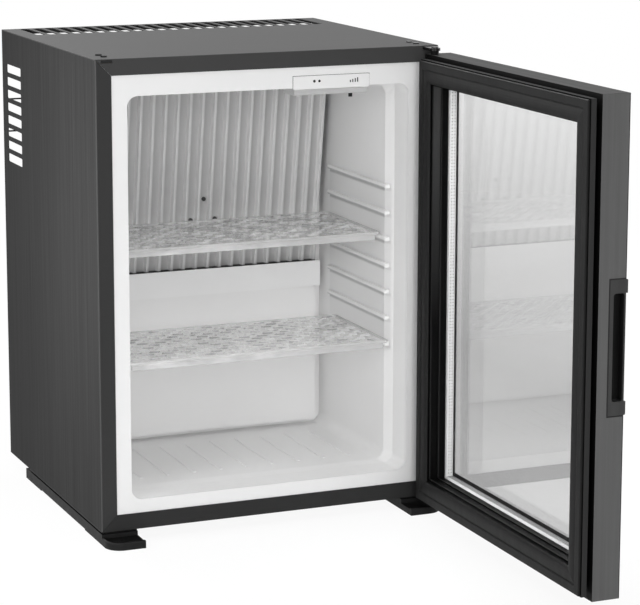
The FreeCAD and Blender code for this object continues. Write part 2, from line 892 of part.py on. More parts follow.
def insulation_foam():
    foam = block(
        (S.sheet + S.fit_gap, S.casing_width - S.sheet - S.fit_gap),
        (LINER_FRONT + S.liner_wall + S.fit_gap, S.insulated_depth - S.sheet - S.fit_gap),
        (S.sheet + S.fit_gap, S.casing_height - S.sheet - S.hinge_space),
    )
    tub = chamber(S.liner_wall + S.fit_gap, -S.overrun, CHAMBER_BACK + S.liner_wall + S.fit_gap)
    holes = [tub, control_space(S.fit_gap * 2), *cold_tube_holes()]
    screw_end = S.skid_screw_length + S.fit_gap
    for place in ALL_SKID_SCREWS:
        holes.append(rod("z", -S.overrun, screw_end, place, S.skid_screw + S.fit_gap * 2))
    keep("insulation_foam", cut(foam, *holes))


insulation_foam()


# cold plate, its block, tube and screws, and the tray under it


def fin_outline():
    """The folded sheet of the cold plate seen from above: flat bases and narrow crests."""
    front = []
    for number in range(FINS):
        left = PLATE_LEFT + S.fin_pitch * number
        front += [(left + S.fin_pitch * along, rise) for along, rise in FIN_SHARES]
    back_line = [(PLATE_LEFT, 0)] + front
    face = [Vector(float(x), float(-S.plate_sheet - S.fin_raise * crest), 0) for x, crest in back_line]
    rear = [Vector(float(x), float(-S.fin_raise * crest), 0) for x, crest in back_line]
    return face + rear[::-1]


def plate_screw(fins_off_middle, height):
    """A screw in the middle of a flat base between two crests."""
    fins_before = FINS // 2 + fins_off_middle
    return PLATE_LEFT + S.fin_pitch * (fins_before + FIN_SHARES[0][0] / 2), height


PLATE_SCREWS = [
    plate_screw(-1, S.plate_screw_low),
    plate_screw(1, S.plate_screw_low),
    plate_screw(0, S.plate_screw_low + S.plate_screw_rise),
]


def leaning(label, obj):
    obj.Placement = LEANING.multiply(obj.Placement)
    keep(label, obj)


def cold_plate():
    points = fin_outline()
    outline = Part.Face(Part.makePolygon(points + points[:1]))
    folded = doc.addObject("Part::Feature", "FoldedSheet")
    folded.Shape = outline.extrude(Vector(0, 0, float(S.plate_height)))
    holes = []
    for x, z in PLATE_SCREWS:
        holes.append(rod("y", -S.plate_sheet - S.overrun, S.overrun, (x, z), S.plate_screw + S.fit_gap))
    leaning("evaporator_plate", cut(folded, *holes))


def cold_block():
    body = block(
        (MIDDLE - S.cold_block_width / 2, MIDDLE + S.cold_block_width / 2),
        (S.fit_gap, S.fit_gap + S.cold_block_thickness),
        (S.cold_block_bottom, S.plate_height - S.cold_block_top_gap),
    )
    holes = []
    depth = S.plate_screw_length + S.fit_gap
    for x, z in PLATE_SCREWS:
        holes.append(rod("y", -S.overrun, depth, (x, z), S.plate_screw + S.fit_gap))
    leaning("evaporator_block", cut(body, *holes))


def cold_plate_screws():
    screws = []
    for x, z in PLATE_SCREWS:
        seat = -S.plate_sheet
        head = rod("y", seat - S.plate_screw_head_height, seat, (x, z), S.plate_screw_head)
        shank = rod("y", seat, S.plate_screw_length, (x, z), S.plate_screw)
        screws.append(fuse(head, shank))
    leaning("evaporator_screws", group(*screws))


def cold_tube():
    right = CHAMBER_RIGHT - S.cold_tube_side_gap
    route = [
        (S.unit_left, TUBE_END, HIGH_RUN[1]),
        (S.unit_left, HIGH_RUN[0], HIGH_RUN[1]),
        (right, HIGH_RUN[0], HIGH_RUN[1]),
        (right, LOW_RUN[0], LOW_RUN[1]),
        (S.unit_left, LOW_RUN[0], LOW_RUN[1]),
        (S.unit_left, TUBE_END, LOW_RUN[1]),
    ]
    bends = [S.cold_tube_bend, S.cold_tube_return_bend, S.cold_tube_return_bend, S.cold_tube_bend]
    keep("evaporator_tube", round_tube(route, S.cold_tube, bends))


def drip_tray():
    width = (CHAMBER_LEFT + S.tray_side_gap, CHAMBER_RIGHT - S.tray_side_gap)
    back = CHAMBER_BACK - S.fit_gap
    depth = (back - S.tray_depth, back)
    outside = block(width, depth, (TRAY_BOTTOM, TRAY_TOP))
    trough = (TRAY_BOTTOM + S.tray_wall, TRAY_TOP + S.overrun)
    inside = block(grown(width, -S.tray_wall), grown(depth, -S.tray_wall), trough)
    crest_front = leaned(-S.plate_sheet - S.fin_raise, S.tray_rise)[0]
    plate_room = block(
        grown(width, S.overrun),
        (crest_front - S.tray_gap, back + S.overrun),
        (PLATE_BOTTOM - S.tray_gap, TRAY_TOP + S.overrun),
    )
    keep("drip_tray", cut(outside, inside, plate_room))


cold_plate()
cold_block()
cold_plate_screws()
cold_tube()
drip_tray()

# control box with its lens, lamp, sensor and button

BUTTON_AT = (CONTROL_X[0] + S.button_inset, CONTROL_Z[0] + S.button_rise)
LAMP_AT = (BUTTON_AT[0] + S.lamp_spacing, BUTTON_AT[1])


def control_box():
    shell = rounded(block(CONTROL_X, CONTROL_Y, CONTROL_Z), S.control_corner, runs_along("y"))
    button_back = CONTROL_Y[0] + S.button_length + S.button_travel
    button_hole = rod("y", -S.overrun, button_back, BUTTON_AT, S.button + S.running_gap * 2)
    lamp_back = CONTROL_Y[0] + S.button_length
    lamp_hole = rod("y", -S.overrun, lamp_back, LAMP_AT, S.button + S.press_gap * 2)
    keep("control_box", cut(shell, button_hole, lamp_hole))


def temperature_button():
    front = CONTROL_Y[0] - S.button_proud
    keep("temperature_button", rod("y", front, front + S.button_length, BUTTON_AT, S.button))


def status_lamp():
    keep("status_lamp", rod("y", CONTROL_Y[0], CONTROL_Y[0] + S.button_length, LAMP_AT, S.button))


LENS_BOTTOM = CONTROL_BOTTOM - S.lens_height


def lamp_lens():
    start = CONTROL_Y[0] + S.lens_margin
    height = (LENS_BOTTOM, CONTROL_BOTTOM)
    body = block(grown(CONTROL_X, -S.lens_margin), (start, start + S.lens_depth), height)
    keep("lamp_lens", rounded(body, S.control_corner, runs_along("x")))


def temperature_sensor():
    place = (CONTROL_X[1] - S.sensor_inset, CONTROL_Y[0] + S.sensor_inset)
    keep("temperature_sensor", rod("z", LENS_BOTTOM - S.sensor_length, LENS_BOTTOM, place, S.sensor))


control_box()
temperature_button()
status_lamp()
lamp_lens()
temperature_sensor()

# skids

TOE_TOP = -(S.skid_height - S.toe_thickness)


def skid(label, mirrored):
    """A moulded skid: a bar under the casing, a dished toe in front of it and two low pads."""

    def across(*places):
        if mirrored:
            return tuple(S.casing_width - place for place in reversed(places))
        return places

    toe = block(across(ZERO, S.skid_width), (-S.toe_reach, S.overrun), (-S.skid_height, TOE_TOP))
    outer = float(S.casing_width) if mirrored else 0.0
    along = runs_along("z")
    toe = rounded(toe, S.toe_corner, lambda a, b: along(a, b) and abs(a.x - outer) < SAME and a.y < 0)
    top = float(TOE_TOP)

    def outer_top_edge(a, b):
        on_top = abs(a.z - top) < SAME and abs(b.z - top) < SAME
        inner_side = abs(a.x - b.x) < SAME and abs(a.x - outer) > SAME
        return on_top and min(a.y, b.y) < 0 and not inner_side

    toe = rounded(toe, S.toe_edge, outer_top_edge)
    pin_x = S.casing_width - S.hinge_inset if mirrored else S.hinge_inset
    rim = across(S.toe_rim, S.skid_width + S.overrun)
    dish = block(rim, (S.toe_rim - S.toe_reach, ZERO), (TOE_TOP - S.toe_dish, TOE_TOP + S.overrun))
    rim_x = float(rim[1] if mirrored else rim[0])
    dish = rounded(
        dish,
        S.toe_corner - S.toe_rim,
        lambda a, b: along(a, b) and abs(a.x - rim_x) < SAME and a.y < -SAME,
    )
    boss = rod("z", -S.skid_height, TOE_TOP, (pin_x, HINGE_Y), S.toe_boss)
    groove = (-S.skid_groove, S.overrun)
    side_groove = block(
        across(-S.overrun, S.skid_groove_depth), (-S.overrun, SKID_LENGTH + S.overrun), groove
    )
    front_groove = block(
        across(-S.overrun, S.skid_width + S.overrun), (-S.overrun, S.skid_groove_depth), groove
    )
    bar = block(across(ZERO, S.skid_heel_width), (ZERO, SKID_LENGTH), (-S.skid_height, ZERO))
    wide = block(across(ZERO, S.skid_width), (ZERO, S.pad_length), (-S.skid_height, ZERO))
    relief = block(
        across(-S.overrun, S.skid_width + S.overrun),
        (S.pad_length, SKID_LENGTH - S.pad_length),
        (-S.skid_height - S.overrun, -S.skid_height + S.pad_height),
    )
    holes = []
    for place in skid_screw_places(mirrored):
        below = -S.skid_height - S.overrun
        holes.append(rod("z", below, S.overrun, place, S.skid_screw + S.fit_gap))
        holes.append(rod("z", below, SKID_SCREW_SEAT, place, S.skid_screw_head + S.fit_gap * 2))
    holes.append(rod("z", PIN_FOOT, S.overrun, (pin_x, HINGE_Y), S.hinge_pin + S.press_gap * 2))
    keep(label, cut(fuse(toe, bar, wide), relief, cut(dish, boss), side_groove, front_groove, *holes))


SKID_SCREW_SEAT = S.skid_screw_head_height * 2 - S.skid_height
PIN_FOOT = S.pin_floor - S.skid_height

skid("base_rail_left", False)
skid("base_rail_right", True)


def skid_screws():
    screws = []
    for place in ALL_SKID_SCREWS:
        head_foot = SKID_SCREW_SEAT - S.skid_screw_head_height
        head = rod("z", head_foot, SKID_SCREW_SEAT, place, S.skid_screw_head)
        shank = rod("z", SKID_SCREW_SEAT, S.skid_screw_length, place, S.skid_screw)
        screws.append(fuse(head, shank))
    keep("base_rail_screws", group(*screws))


skid_screws()

# hinges

PLATE_TOP = S.casing_height - S.sheet
PLATE_LOW = PLATE_TOP - S.hinge_plate_thickness


def hinge_plate():
    """The plate under the top panel, with an arm that reaches out through the front flange."""
    centre = S.casing_width - S.hinge_screw_inset
    half = S.hinge_plate_width / 2
    height = (PLATE_LOW, PLATE_TOP)
    foot = block((centre - half, centre + half), (S.hinge_plate_front, S.hinge_plate_back), height)
    half_arm = S.hinge_arm_width / 2
    arm = block((HINGE_X - half_arm, HINGE_X + half_arm), (HINGE_Y, S.hinge_plate_front), height)
    nose = rod("z", PLATE_LOW, PLATE_TOP, (HINGE_X, HINGE_Y), S.hinge_arm_width)
    below = PLATE_LOW - S.overrun
    above = PLATE_TOP + S.overrun
    holes = [rod("z", below, above, (HINGE_X, HINGE_Y), S.hinge_pin + S.press_gap * 2)]
    for place in hinge_screw_places(False):
        holes.append(rod("z", below, above, place, S.hinge_screw + S.press_gap * 2))
    keep("upper_hinge_bracket", cut(fuse(foot, arm, nose), *holes))


def hinge_pins():
    at = (HINGE_X, HINGE_Y)
    upper = rod("z", DOOR_TOP - S.hinge_pin_engagement, PLATE_TOP, at, S.hinge_pin)
    head = rod("z", PLATE_TOP, PLATE_TOP + S.hinge_pin_head_height, at, S.hinge_pin_head)
    keep("upper_hinge_pin", fuse(upper, head))
    keep("lower_hinge_pin", rod("z", PIN_FOOT, S.door_bottom + S.hinge_pin_engagement, at, S.hinge_pin))


def top_fixings(from_left):
    """Low round heads on the top panel: screws at the hinge, plugs in the spare holes."""
    pieces = []
    for place in hinge_screw_places(from_left):
        head_top = S.casing_height + S.hinge_screw_head_height
        head = rod("z", S.casing_height, head_top, place, S.hinge_screw_head)
        shank = rod("z", PLATE_LOW, S.casing_height, place, S.hinge_screw)
        pieces.append(fuse(head, shank))
    return pieces


def spare_hinge_plugs():
    """Plugs in the spare screw holes, and one in the slot where the hinge's arm would come out."""
    depth = (S.seam_gap, S.slot_plug_depth)
    slot_plug = block(about(S.hinge_inset, S.hinge_arm_width), depth, (PLATE_LOW, PLATE_TOP))
    keep("hinge_hole_plugs", group(*top_fixings(True), slot_plug))


hinge_plate()
hinge_pins()
keep("hinge_screws", group(*top_fixings(False)))
spare_hinge_plugs()

# door: each ring of pieces lies between an outer and an inner rectangle


class Ring:
    """A standing rectangle given by its four edges."""

    def __init__(self, left, right, low, high):
        self.left = left
        self.right = right
        self.low = low
        self.high = high

    def inset(self, amount):
        return Ring(self.left + amount, self.right - amount, self.low + amount, self.high - amount)


DOOR = Ring(ZERO, S.casing_width, S.door_bottom, DOOR_TOP)
TRIM = Ring(
    S.gasket_inset,
    S.casing_width - S.gasket_hinge_inset,
    S.door_bottom + S.gasket_inset,
    DOOR_TOP - S.gasket_inset,
)
SIGHT = DOOR.inset(S.sight_inset)


def mitred(side, loops, ends, inner):
    """One side of a frame: a section between two ends, cut to mitres that run from the door's corners."""
    if side in ("top", "bottom"):
        bar = pad("yz", [[(y, place) for place, y in loop] for loop in loops], ends.left, ends.right)
    else:
        bar = pad("xy", loops, ends.low, ends.high)
    outer = DOOR
    gap = S.seam_gap / 2
    outer_corners = {
        "top": [(outer.left + gap, outer.high), (outer.right - gap, outer.high)],
        "bottom": [(outer.right - gap, outer.low), (outer.left + gap, outer.low)],
        "left": [(outer.left, outer.low + gap), (outer.left, outer.high - gap)],
        "right": [(outer.right, outer.high - gap), (outer.right, outer.low + gap)],
    }[side]
    inner_corners = {
        "top": [(inner.right - gap, inner.high), (inner.left + gap, inner.high)],
        "bottom": [(inner.left + gap, inner.low), (inner.right - gap, inner.low)],
        "left": [(inner.left, inner.high - gap), (inner.left, inner.low + gap)],
        "right": [(inner.right, inner.low + gap), (inner.right, inner.high - gap)],
    }[side]
    wedge = pad("xz", [outer_corners + inner_corners], DOOR_FRONT - S.overrun, ZERO)
    return common(bar, wedge)


def inward(side, inset):
    """A place at an inset from one side of the door."""
    if side in ("left", "bottom"):
        return {"left": DOOR.left, "bottom": DOOR.low}[side] + inset
    return {"right": DOOR.right, "top": DOOR.high}[side] - inset


def frame_section(side):
    """A hollow bar with a lip in front of the glass."""
    wall = S.frame_wall
    shell = [
        (ZERO, DOOR_FRONT),
        (S.frame_width + S.frame_lip, DOOR_FRONT),
        (S.frame_width + S.frame_lip, DOOR_FRONT + wall),
        (S.frame_width, DOOR_FRONT + wall),
        (S.frame_width, DOOR_BACK),
        (ZERO, DOOR_BACK),
    ]
    core = rectangle((wall, S.frame_width - wall), (DOOR_FRONT + wall, DOOR_BACK - wall))
    return [[(inward(side, inset), y) for inset, y in loop] for loop in (shell, core)]


HANDLE_Z = (DOOR.low + DOOR.high) / 2 + S.handle_rise
HANDLE_FRONT = DOOR_FRONT - S.handle_proud
HANDLE_BACK = HANDLE_FRONT + S.handle_width


def door_frame():
    inner = DOOR.inset(S.frame_width + S.frame_lip)
    names = {
        "top": "door_rail_top",
        "bottom": "door_rail_bottom",
        "left": "door_stile_handle",
        "right": "door_stile_hinge",
    }
    for side, label in names.items():
        bar = mitred(side, frame_section(side), DOOR, inner)
        if side == "left":
            notch = block(
                (-S.overrun, S.handle_depth + S.fit_gap),
                (DOOR_FRONT - S.overrun, HANDLE_BACK + S.handle_gap),
                grown(about(HANDLE_Z, S.handle_height), S.handle_gap),
            )
            bar = cut(bar, notch)
        if side in ("top", "bottom"):
            edge = inward(side, ZERO)
            width = S.bush_diameter + S.press_gap * 2
            bar = cut(bar, rod("z", edge - S.overrun, edge + S.overrun, (HINGE_X, HINGE_Y), width))
        keep_on_door(label, bar)


GLASS_EDGE = S.frame_width + S.pane_edge_gap
OUTER_PANE = DOOR_FRONT + S.frame_wall + S.seam_gap / 2
SPACER_FRONT = OUTER_PANE + S.pane
INNER_PANE = SPACER_FRONT + S.pane_gap
GLASS_BACK = INNER_PANE + S.pane


def trim_section(side):
    """The inner trim: a leg with two ribs that holds the glass, and a ledge for the gasket."""
    outer_inset = S.gasket_hinge_inset if side == "right" else S.gasket_inset
    face = DOOR_BACK + S.trim_thickness
    between_ribs = S.sight_inset - S.trim_rib
    upper_rib = face - S.trim_step_depth
    lower_rib = upper_rib - S.trim_rib_spacing
    corners = [
        (S.trim_groove_inset, DOOR_BACK),
        (S.trim_groove_inset, DOOR_BACK + S.trim_groove),
        (outer_inset, DOOR_BACK + S.trim_groove),
        (outer_inset, face),
        (S.sight_inset - S.trim_step, face),
        (S.sight_inset - S.trim_step, upper_rib),
        (S.sight_inset, upper_rib),
        (S.sight_inset, upper_rib - S.trim_rib),
        (between_ribs, upper_rib - S.trim_rib),
        (between_ribs, lower_rib),
        (S.sight_inset, lower_rib),
        (S.sight_inset, lower_rib - S.trim_rib),
        (between_ribs, lower_rib - S.trim_rib),
        (between_ribs, GLASS_BACK),
        (S.frame_width + S.fit_gap, GLASS_BACK),
        (S.frame_width + S.fit_gap, DOOR_BACK),
    ]
    return [[(inward(side, inset), y) for inset, y in corners]]


def door_trim():
    names = {
        "top": "inner_trim_top",
        "bottom": "inner_trim_bottom",
        "left": "inner_trim_handle_side",
        "right": "inner_trim_hinge_side",
    }
    for side, label in names.items():
        keep_on_door(label, mitred(side, trim_section(side), TRIM, SIGHT))


def ring_loops(outer, inner):
    return [rectangle((ring.left, ring.right), (ring.low, ring.high)) for ring in (outer, inner)]


def door_gasket():
    back = -S.gasket_gap
    loops = ring_loops(TRIM, TRIM.inset(S.gasket_width))
    keep_on_door("door_gasket", pad("xz", loops, back - S.gasket_thickness, back))


def pane_of_glass(label, front):
    glass = DOOR.inset(GLASS_EDGE)
    keep_on_door(label, block((glass.left, glass.right), (front, front + S.pane), (glass.low, glass.high)))


def glass_spacer():
    outer = DOOR.inset(S.spacer_inset)
    loops = ring_loops(outer, outer.inset(S.spacer_width))
    keep_on_door("glass_spacer", pad("xz", loops, SPACER_FRONT, INNER_PANE))


def door_handle():
    """A moulded grip let into the free edge of the door, proud of its front at both ends."""
    body = block((ZERO, S.handle_depth), (HANDLE_FRONT, HANDLE_BACK), about(HANDLE_Z, S.handle_height))
    front = float(HANDLE_FRONT)
    along = runs_along("x")
    body = rounded(body, S.handle_corner / 2, lambda a, b: along(a, b) and abs(a.y - front) < SAME)
    lip_back = HANDLE_FRONT + S.handle_lip
    pocket = block(
        (-S.overrun, S.handle_depth - S.handle_wall),
        (lip_back, lip_back + S.grip_width),
        about(HANDLE_Z, S.grip_height),
    )
    pocket = rounded(pocket, S.handle_corner, runs_along("x"))
    waist = block(
        (-S.overrun, S.handle_depth + S.overrun),
        (HANDLE_FRONT - S.overrun, DOOR_FRONT),
        about(HANDLE_Z, S.grip_height),
    )
    keep_on_door("door_handle", cut(body, pocket, waist))


def hinge_bushes():
    at = (HINGE_X, HINGE_Y)
    bore = S.hinge_pin + S.running_gap * 2
    collar_top = PLATE_LOW - S.fit_gap
    upper = fuse(
        rod("z", DOOR_TOP - S.bush_length, DOOR_TOP, at, S.bush_diameter),
        rod("z", DOOR_TOP, collar_top, at, S.bush_flange),
    )
    passage = rod("z", DOOR_TOP - S.bush_length - S.overrun, collar_top + S.overrun, at, bore)
    keep_on_door("upper_hinge_bush", cut(upper, passage))
    collar_low = TOE_TOP + S.fit_gap
    lower = fuse(
        rod("z", S.door_bottom, S.door_bottom + S.bush_length, at, S.bush_diameter),
        rod("z", collar_low, S.door_bottom, at, S.bush_flange),
    )
    passage = rod("z", collar_low - S.overrun, S.door_bottom + S.bush_length + S.overrun, at, bore)
    keep_on_door("lower_hinge_bush", cut(lower, passage))


door_frame()
door_trim()
door_gasket()
pane_of_glass("outer_glass", OUTER_PANE)
pane_of_glass("inner_glass", INNER_PANE)
glass_spacer()
door_handle()
hinge_bushes()


# shelves

SHELF_DEPTH = CHAMBER_BACK - S.shelf_back_gap - S.upper_shelf_front


def shelf(label, front, rail):
    """A clear moulded shelf with a lip along its front, resting on a pair of rails."""
    low = rail_top(rail) + S.shelf_rest_gap
    high = low + S.shelf_plate
    width = grown((CHAMBER_LEFT, CHAMBER_RIGHT), -S.shelf_side_gap)
    lip_gap = S.rail_reach + S.shelf_side_gap * 2
    plate = block(width, (front, front + SHELF_DEPTH), (low, high))
    lip = block(grown(width, -lip_gap), (front, front + S.shelf_lip_wall), (high - S.shelf_lip, high))
    keep(label, fuse(plate, lip))


shelf("shelf_lower", S.lower_shelf_front, LOWER_SHELF_RAIL_INDEX)
shelf("shelf_upper", S.upper_shelf_front, UPPER_SHELF_RAIL_INDEX)

# absorption unit on the back

BOILER_LEFT = BOILER_X - S.boiler_diameter / 2


def boiler():
    at = (BOILER_X, UNIT_Y)
    heater_at = (BOILER_X + S.heater_spacing, UNIT_Y)
    heater_bore = S.heater_diameter + S.fit_gap * 2
    inside = S.boiler_diameter - S.boiler_jacket * 2
    jacket = cut(
        rod("z", S.boiler_bottom, BOILER_TOP, at, S.boiler_diameter),
        rod("z", S.boiler_bottom + S.boiler_jacket, BOILER_TOP - S.boiler_jacket, at, inside),
        rod("z", BOILER_TOP - S.overrun, BOILER_TOP + S.overrun, at, S.boiler_tube + S.fit_gap * 2),
    )
    keep("boiler_housing", jacket)
    low = S.boiler_bottom + S.boiler_jacket + S.fit_gap
    high = BOILER_TOP - S.boiler_jacket - S.fit_gap
    wool = cut(
        rod("z", low, high, at, inside - S.fit_gap * 2),
        rod("z", low - S.overrun, high + S.overrun, at, S.boiler_tube + S.fit_gap * 2),
        rod("z", low - S.overrun, low + S.heater_length + S.fit_gap, heater_at, heater_bore),
    )
    keep("boiler_wool", wool)
    keep("boiler_tube", rod("z", low, BOILER_TOP, at, S.boiler_tube))
    keep("heater_cartridge", rod("z", low, low + S.heater_length, heater_at, S.heater_diameter))


def boiler_strap():
    """A clamp band round the boiler with a foot on the rear wall."""
    at = (BOILER_X, UNIT_Y)
    middle = (S.boiler_bottom + BOILER_TOP) / 2
    height = about(middle, S.strap_height)
    outside = S.boiler_diameter + S.fit_gap * 2 + S.strap_thickness * 2
    band = rod("z", height[0], height[1], at, outside)
    foot = block(about(BOILER_X, S.strap_foot_width), (S.insulated_depth, UNIT_Y), height)
    bore = rod("z", height[0] - S.overrun, height[1] + S.overrun, at, S.boiler_diameter + S.fit_gap * 2)
    keep("boiler_strap", cut(fuse(band, foot), bore))


def condenser():
    tail = TUBE_END + S.fit_gap
    route = [
        (BOILER_X, UNIT_Y, BOILER_TOP + S.fit_gap),
        (BOILER_X, UNIT_Y, CONDENSER_HEIGHT),
        (S.unit_left, UNIT_Y, CONDENSER_HEIGHT),
        (S.unit_left, UNIT_Y, HIGH_RUN[1]),
        (S.unit_left, tail, HIGH_RUN[1]),
    ]
    bends = [S.condenser_bend, S.tail_bend, S.tail_bend]
    keep("condenser_tube", round_tube(route, S.condenser_tube, bends))
    first = S.unit_left + S.condenser_fin_margin
    last = BOILER_X - S.condenser_fin_margin
    count = int((float(last) - float(first)) / float(S.condenser_fin_pitch)) + 1
    depth = about(UNIT_Y, S.condenser_fin_width)
    height = about(CONDENSER_HEIGHT, S.condenser_fin_width)
    collar = S.condenser_tube + S.fit_gap
    fins = []
    for number in range(count):
        left = first + S.condenser_fin_pitch * number
        fin = block((left, left + S.condenser_fin_sheet), depth, height)
        bore = rod("x", left - S.overrun, left + S.overrun, (UNIT_Y, CONDENSER_HEIGHT), collar)
        fins.append(cut(fin, bore))
    keep("condenser_fins", group(*fins))


def absorber():
    """A rising row of straight passes from the vessel up to the cold tube's lower end."""
    vessel_top = S.vessel_height + S.vessel_diameter / 2
    coil_right = BOILER_LEFT - S.absorber_gap
    route = [(coil_right, UNIT_Y, vessel_top + S.fit_gap)]
    bends = []
    for number in range(ABSORBER_PASSES):
        height = S.absorber_bottom + S.absorber_spacing * number
        ends = [coil_right, S.unit_left]
        if number % 2:
            ends.reverse()
        route += [(end, UNIT_Y, height) for end in ends]
        bends += [S.absorber_bend, S.absorber_bend]
    route += [(S.unit_left, UNIT_Y, LOW_RUN[1]), (S.unit_left, TUBE_END + S.fit_gap, LOW_RUN[1])]
    bends += [S.tail_bend]
    keep("absorber_coil", round_tube(route, S.absorber_tube, bends))
    span = (S.vessel_left, BOILER_LEFT - S.vessel_gap)
    at = (UNIT_Y, S.vessel_height)
    keep("absorber_vessel", rod("x", span[0], span[1], at, S.vessel_diameter))
    saddles = []
    for left in (span[0] + S.saddle_inset, span[1] - S.saddle_inset - S.saddle_width):
        right = left + S.saddle_width
        saddle = block((left, right), (S.insulated_depth, UNIT_Y), about(S.vessel_height, S.saddle_height))
        seat = rod("x", left - S.overrun, right + S.overrun, at, S.vessel_diameter + S.fit_gap * 2)
        saddles.append(cut(saddle, seat))
    keep("vessel_brackets", group(*saddles))


def driver_box():
    """The closed box of the electronics, with the gland that the mains lead goes in by."""
    right = S.casing_width - S.sheet - S.driver_side_gap
    back = S.insulated_depth + S.driver_depth
    span = (right - S.driver_width, right)
    height = (S.driver_bottom, S.driver_bottom + S.driver_height)
    shell = rounded(block(span, (S.insulated_depth, back), height), S.driver_corner, runs_along("y"))
    keep("electronics_box", shell)
    at = (right - S.gland_inset, (height[0] + height[1]) / 2)
    gland = rod("y", back, back + S.gland_length, at, S.gland_diameter)
    bore = rod("y", back + S.fit_gap, back + S.gland_length + S.overrun, at, S.gland_bore)
    keep("cable_gland", cut(gland, bore))


def guard_rods():
    depth = CASING_DEPTH - S.rear_hem - S.guard_rod_setback
    rods = []
    for number in range(2):
        height = S.casing_height - S.guard_rod_drop + S.guard_rod_spacing * number
        rods.append(rod("x", S.sheet, S.casing_width - S.sheet, (depth, height), S.guard_rod))
    keep("guard_rods", group(*rods))


boiler()
boiler_strap()
condenser()
absorber()
driver_box()
guard_rods()

# test every object, then write each piece to its own file

doc.recompute()
for obj in doc.Objects:
    if "Invalid" in obj.State or "Error" in obj.State:
        raise RuntimeError(f"{obj.Name} ({obj.Label}) failed: {obj.State}")
for obj in PARTS:
    if obj.Shape.isNull() or not obj.Shape.isValid() or not obj.Shape.Solids:
        raise RuntimeError(f"{obj.Label} has no valid solid")
os.makedirs("parts", exist_ok=True)
for obj in PARTS:
    obj.Shape.exportStep(f"parts/{obj.Label}.step")
print(len(PARTS), "pieces written")
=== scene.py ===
import math

import bmesh
import bpy
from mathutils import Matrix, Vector


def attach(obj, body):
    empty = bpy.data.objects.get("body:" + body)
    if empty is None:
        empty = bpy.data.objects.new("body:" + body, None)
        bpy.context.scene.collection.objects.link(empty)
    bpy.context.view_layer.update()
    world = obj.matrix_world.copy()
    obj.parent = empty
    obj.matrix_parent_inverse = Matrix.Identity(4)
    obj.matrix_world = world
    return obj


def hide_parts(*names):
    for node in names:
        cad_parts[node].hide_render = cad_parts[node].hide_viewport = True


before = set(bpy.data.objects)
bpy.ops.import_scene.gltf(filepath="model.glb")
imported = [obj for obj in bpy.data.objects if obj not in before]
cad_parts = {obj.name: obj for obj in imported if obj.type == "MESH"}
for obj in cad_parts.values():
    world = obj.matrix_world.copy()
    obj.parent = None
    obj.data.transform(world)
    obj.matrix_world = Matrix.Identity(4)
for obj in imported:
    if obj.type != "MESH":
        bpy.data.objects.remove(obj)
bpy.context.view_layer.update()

# The camera stands where the photograph was taken from.
CAMERA_PLACE = (-1.00725, -2.4839, 0.8171)
CAMERA_AZIMUTH = math.radians(22.466)
CAMERA_DOWN = math.radians(10.308)
CAMERA_LENS = 139.88
CAMERA_SENSOR = 36.0
CAMERA_SHIFT = (0.0275, -0.0977)

# Pieces are drawn in millimetres from the casing's lower front left corner, and then moved here.
CASING_CORNER = (-208.25, 23.0, 14.0)
MILLIMETRE = 0.001


# Shader nodes and finishes. Lengths are in metres, and places are those with the door open.

SPECULAR = "Specular IOR Level"
TRANSMISSION = "Transmission Weight"
# Most of a noise lies between these values.
NOISE_LOW, NOISE_HIGH = 0.3, 0.7
NOISE_DETAIL = 4.0
RELIEF_DETAIL = 2.0
# The numbers of a mix node's sockets for colours.
MIX_SHARE, MIX_FIRST, MIX_SECOND, MIX_RESULT = 0, 6, 7, 2


def add(tree, kind, inputs=None, **settings):
    """A shader node with its settings, and its inputs either set or linked."""
    node = tree.nodes.new(kind)
    for setting, value in settings.items():
        setattr(node, setting, value)
    for socket, value in (inputs or {}).items():
        if isinstance(value, bpy.types.NodeSocket):
            tree.links.new(value, node.inputs[socket])
        else:
            node.inputs[socket].default_value = value
    return node


def grey(level, warmth=0.0):
    """A neutral colour of that linear level, made warmer or cooler by a share."""
    return (level * (1 + warmth), level, level * (1 - warmth), 1.0)


def greys(low, high):
    return grey(low), grey(high)


def even(scale):
    """The same noise scale along all three axes."""
    return (scale, scale, scale)


def surface(name, sockets):
    material = bpy.data.materials.new(name)
    material.use_nodes = True
    tree = material.node_tree
    bsdf = tree.nodes["Principled BSDF"]
    for socket, value in sockets.items():
        bsdf.inputs[socket].default_value = value
    return material, tree, bsdf


def place_of(tree):
    return add(tree, "ShaderNodeTexCoord").outputs["Object"]


def normal_of(tree):
    return add(tree, "ShaderNodeTexCoord").outputs["Normal"]


def along(tree, vector, axis):
    return add(tree, "ShaderNodeSeparateXYZ", {0: vector}).outputs["XYZ".index(axis)]


def math_of(tree, operation, first, second=0.0):
    return add(tree, "ShaderNodeMath", {0: first, 1: second}, operation=operation).outputs[0]


def product(tree, first, *others):
    for other in others:
        first = math_of(tree, "MULTIPLY", first, other)
    return first


def off_from(tree, value, middle):
    """How far a value lies from a middle, either way."""
    return math_of(tree, "ABSOLUTE", math_of(tree, "SUBTRACT", value, middle))


def noise(tree, where, scale, detail=NOISE_DETAIL):
    placed = add(tree, "ShaderNodeMapping", {"Vector": where, "Scale": scale})
    inputs = {"Vector": placed.outputs[0], "Scale": 1.0, "Detail": detail}
    return add(tree, "ShaderNodeTexNoise", inputs).outputs["Fac"]


def ranged(tree, value, low, high, start=NOISE_LOW, end=NOISE_HIGH):
    """Low to high as a value goes from start to end."""
    limits = {"Value": value, "From Min": start, "From Max": end, "To Min": low, "To Max": high}
    return add(tree, "ShaderNodeMapRange", limits).outputs[0]


def ramp(tree, value, stops):
    node = add(tree, "ShaderNodeValToRGB", {"Fac": value})
    elements = node.color_ramp.elements
    while len(elements) < len(stops):
        elements.new(1.0)
    for element, (position, colour) in zip(elements, stops):
        element.position, element.color = position, colour
    return node.outputs["Color"]


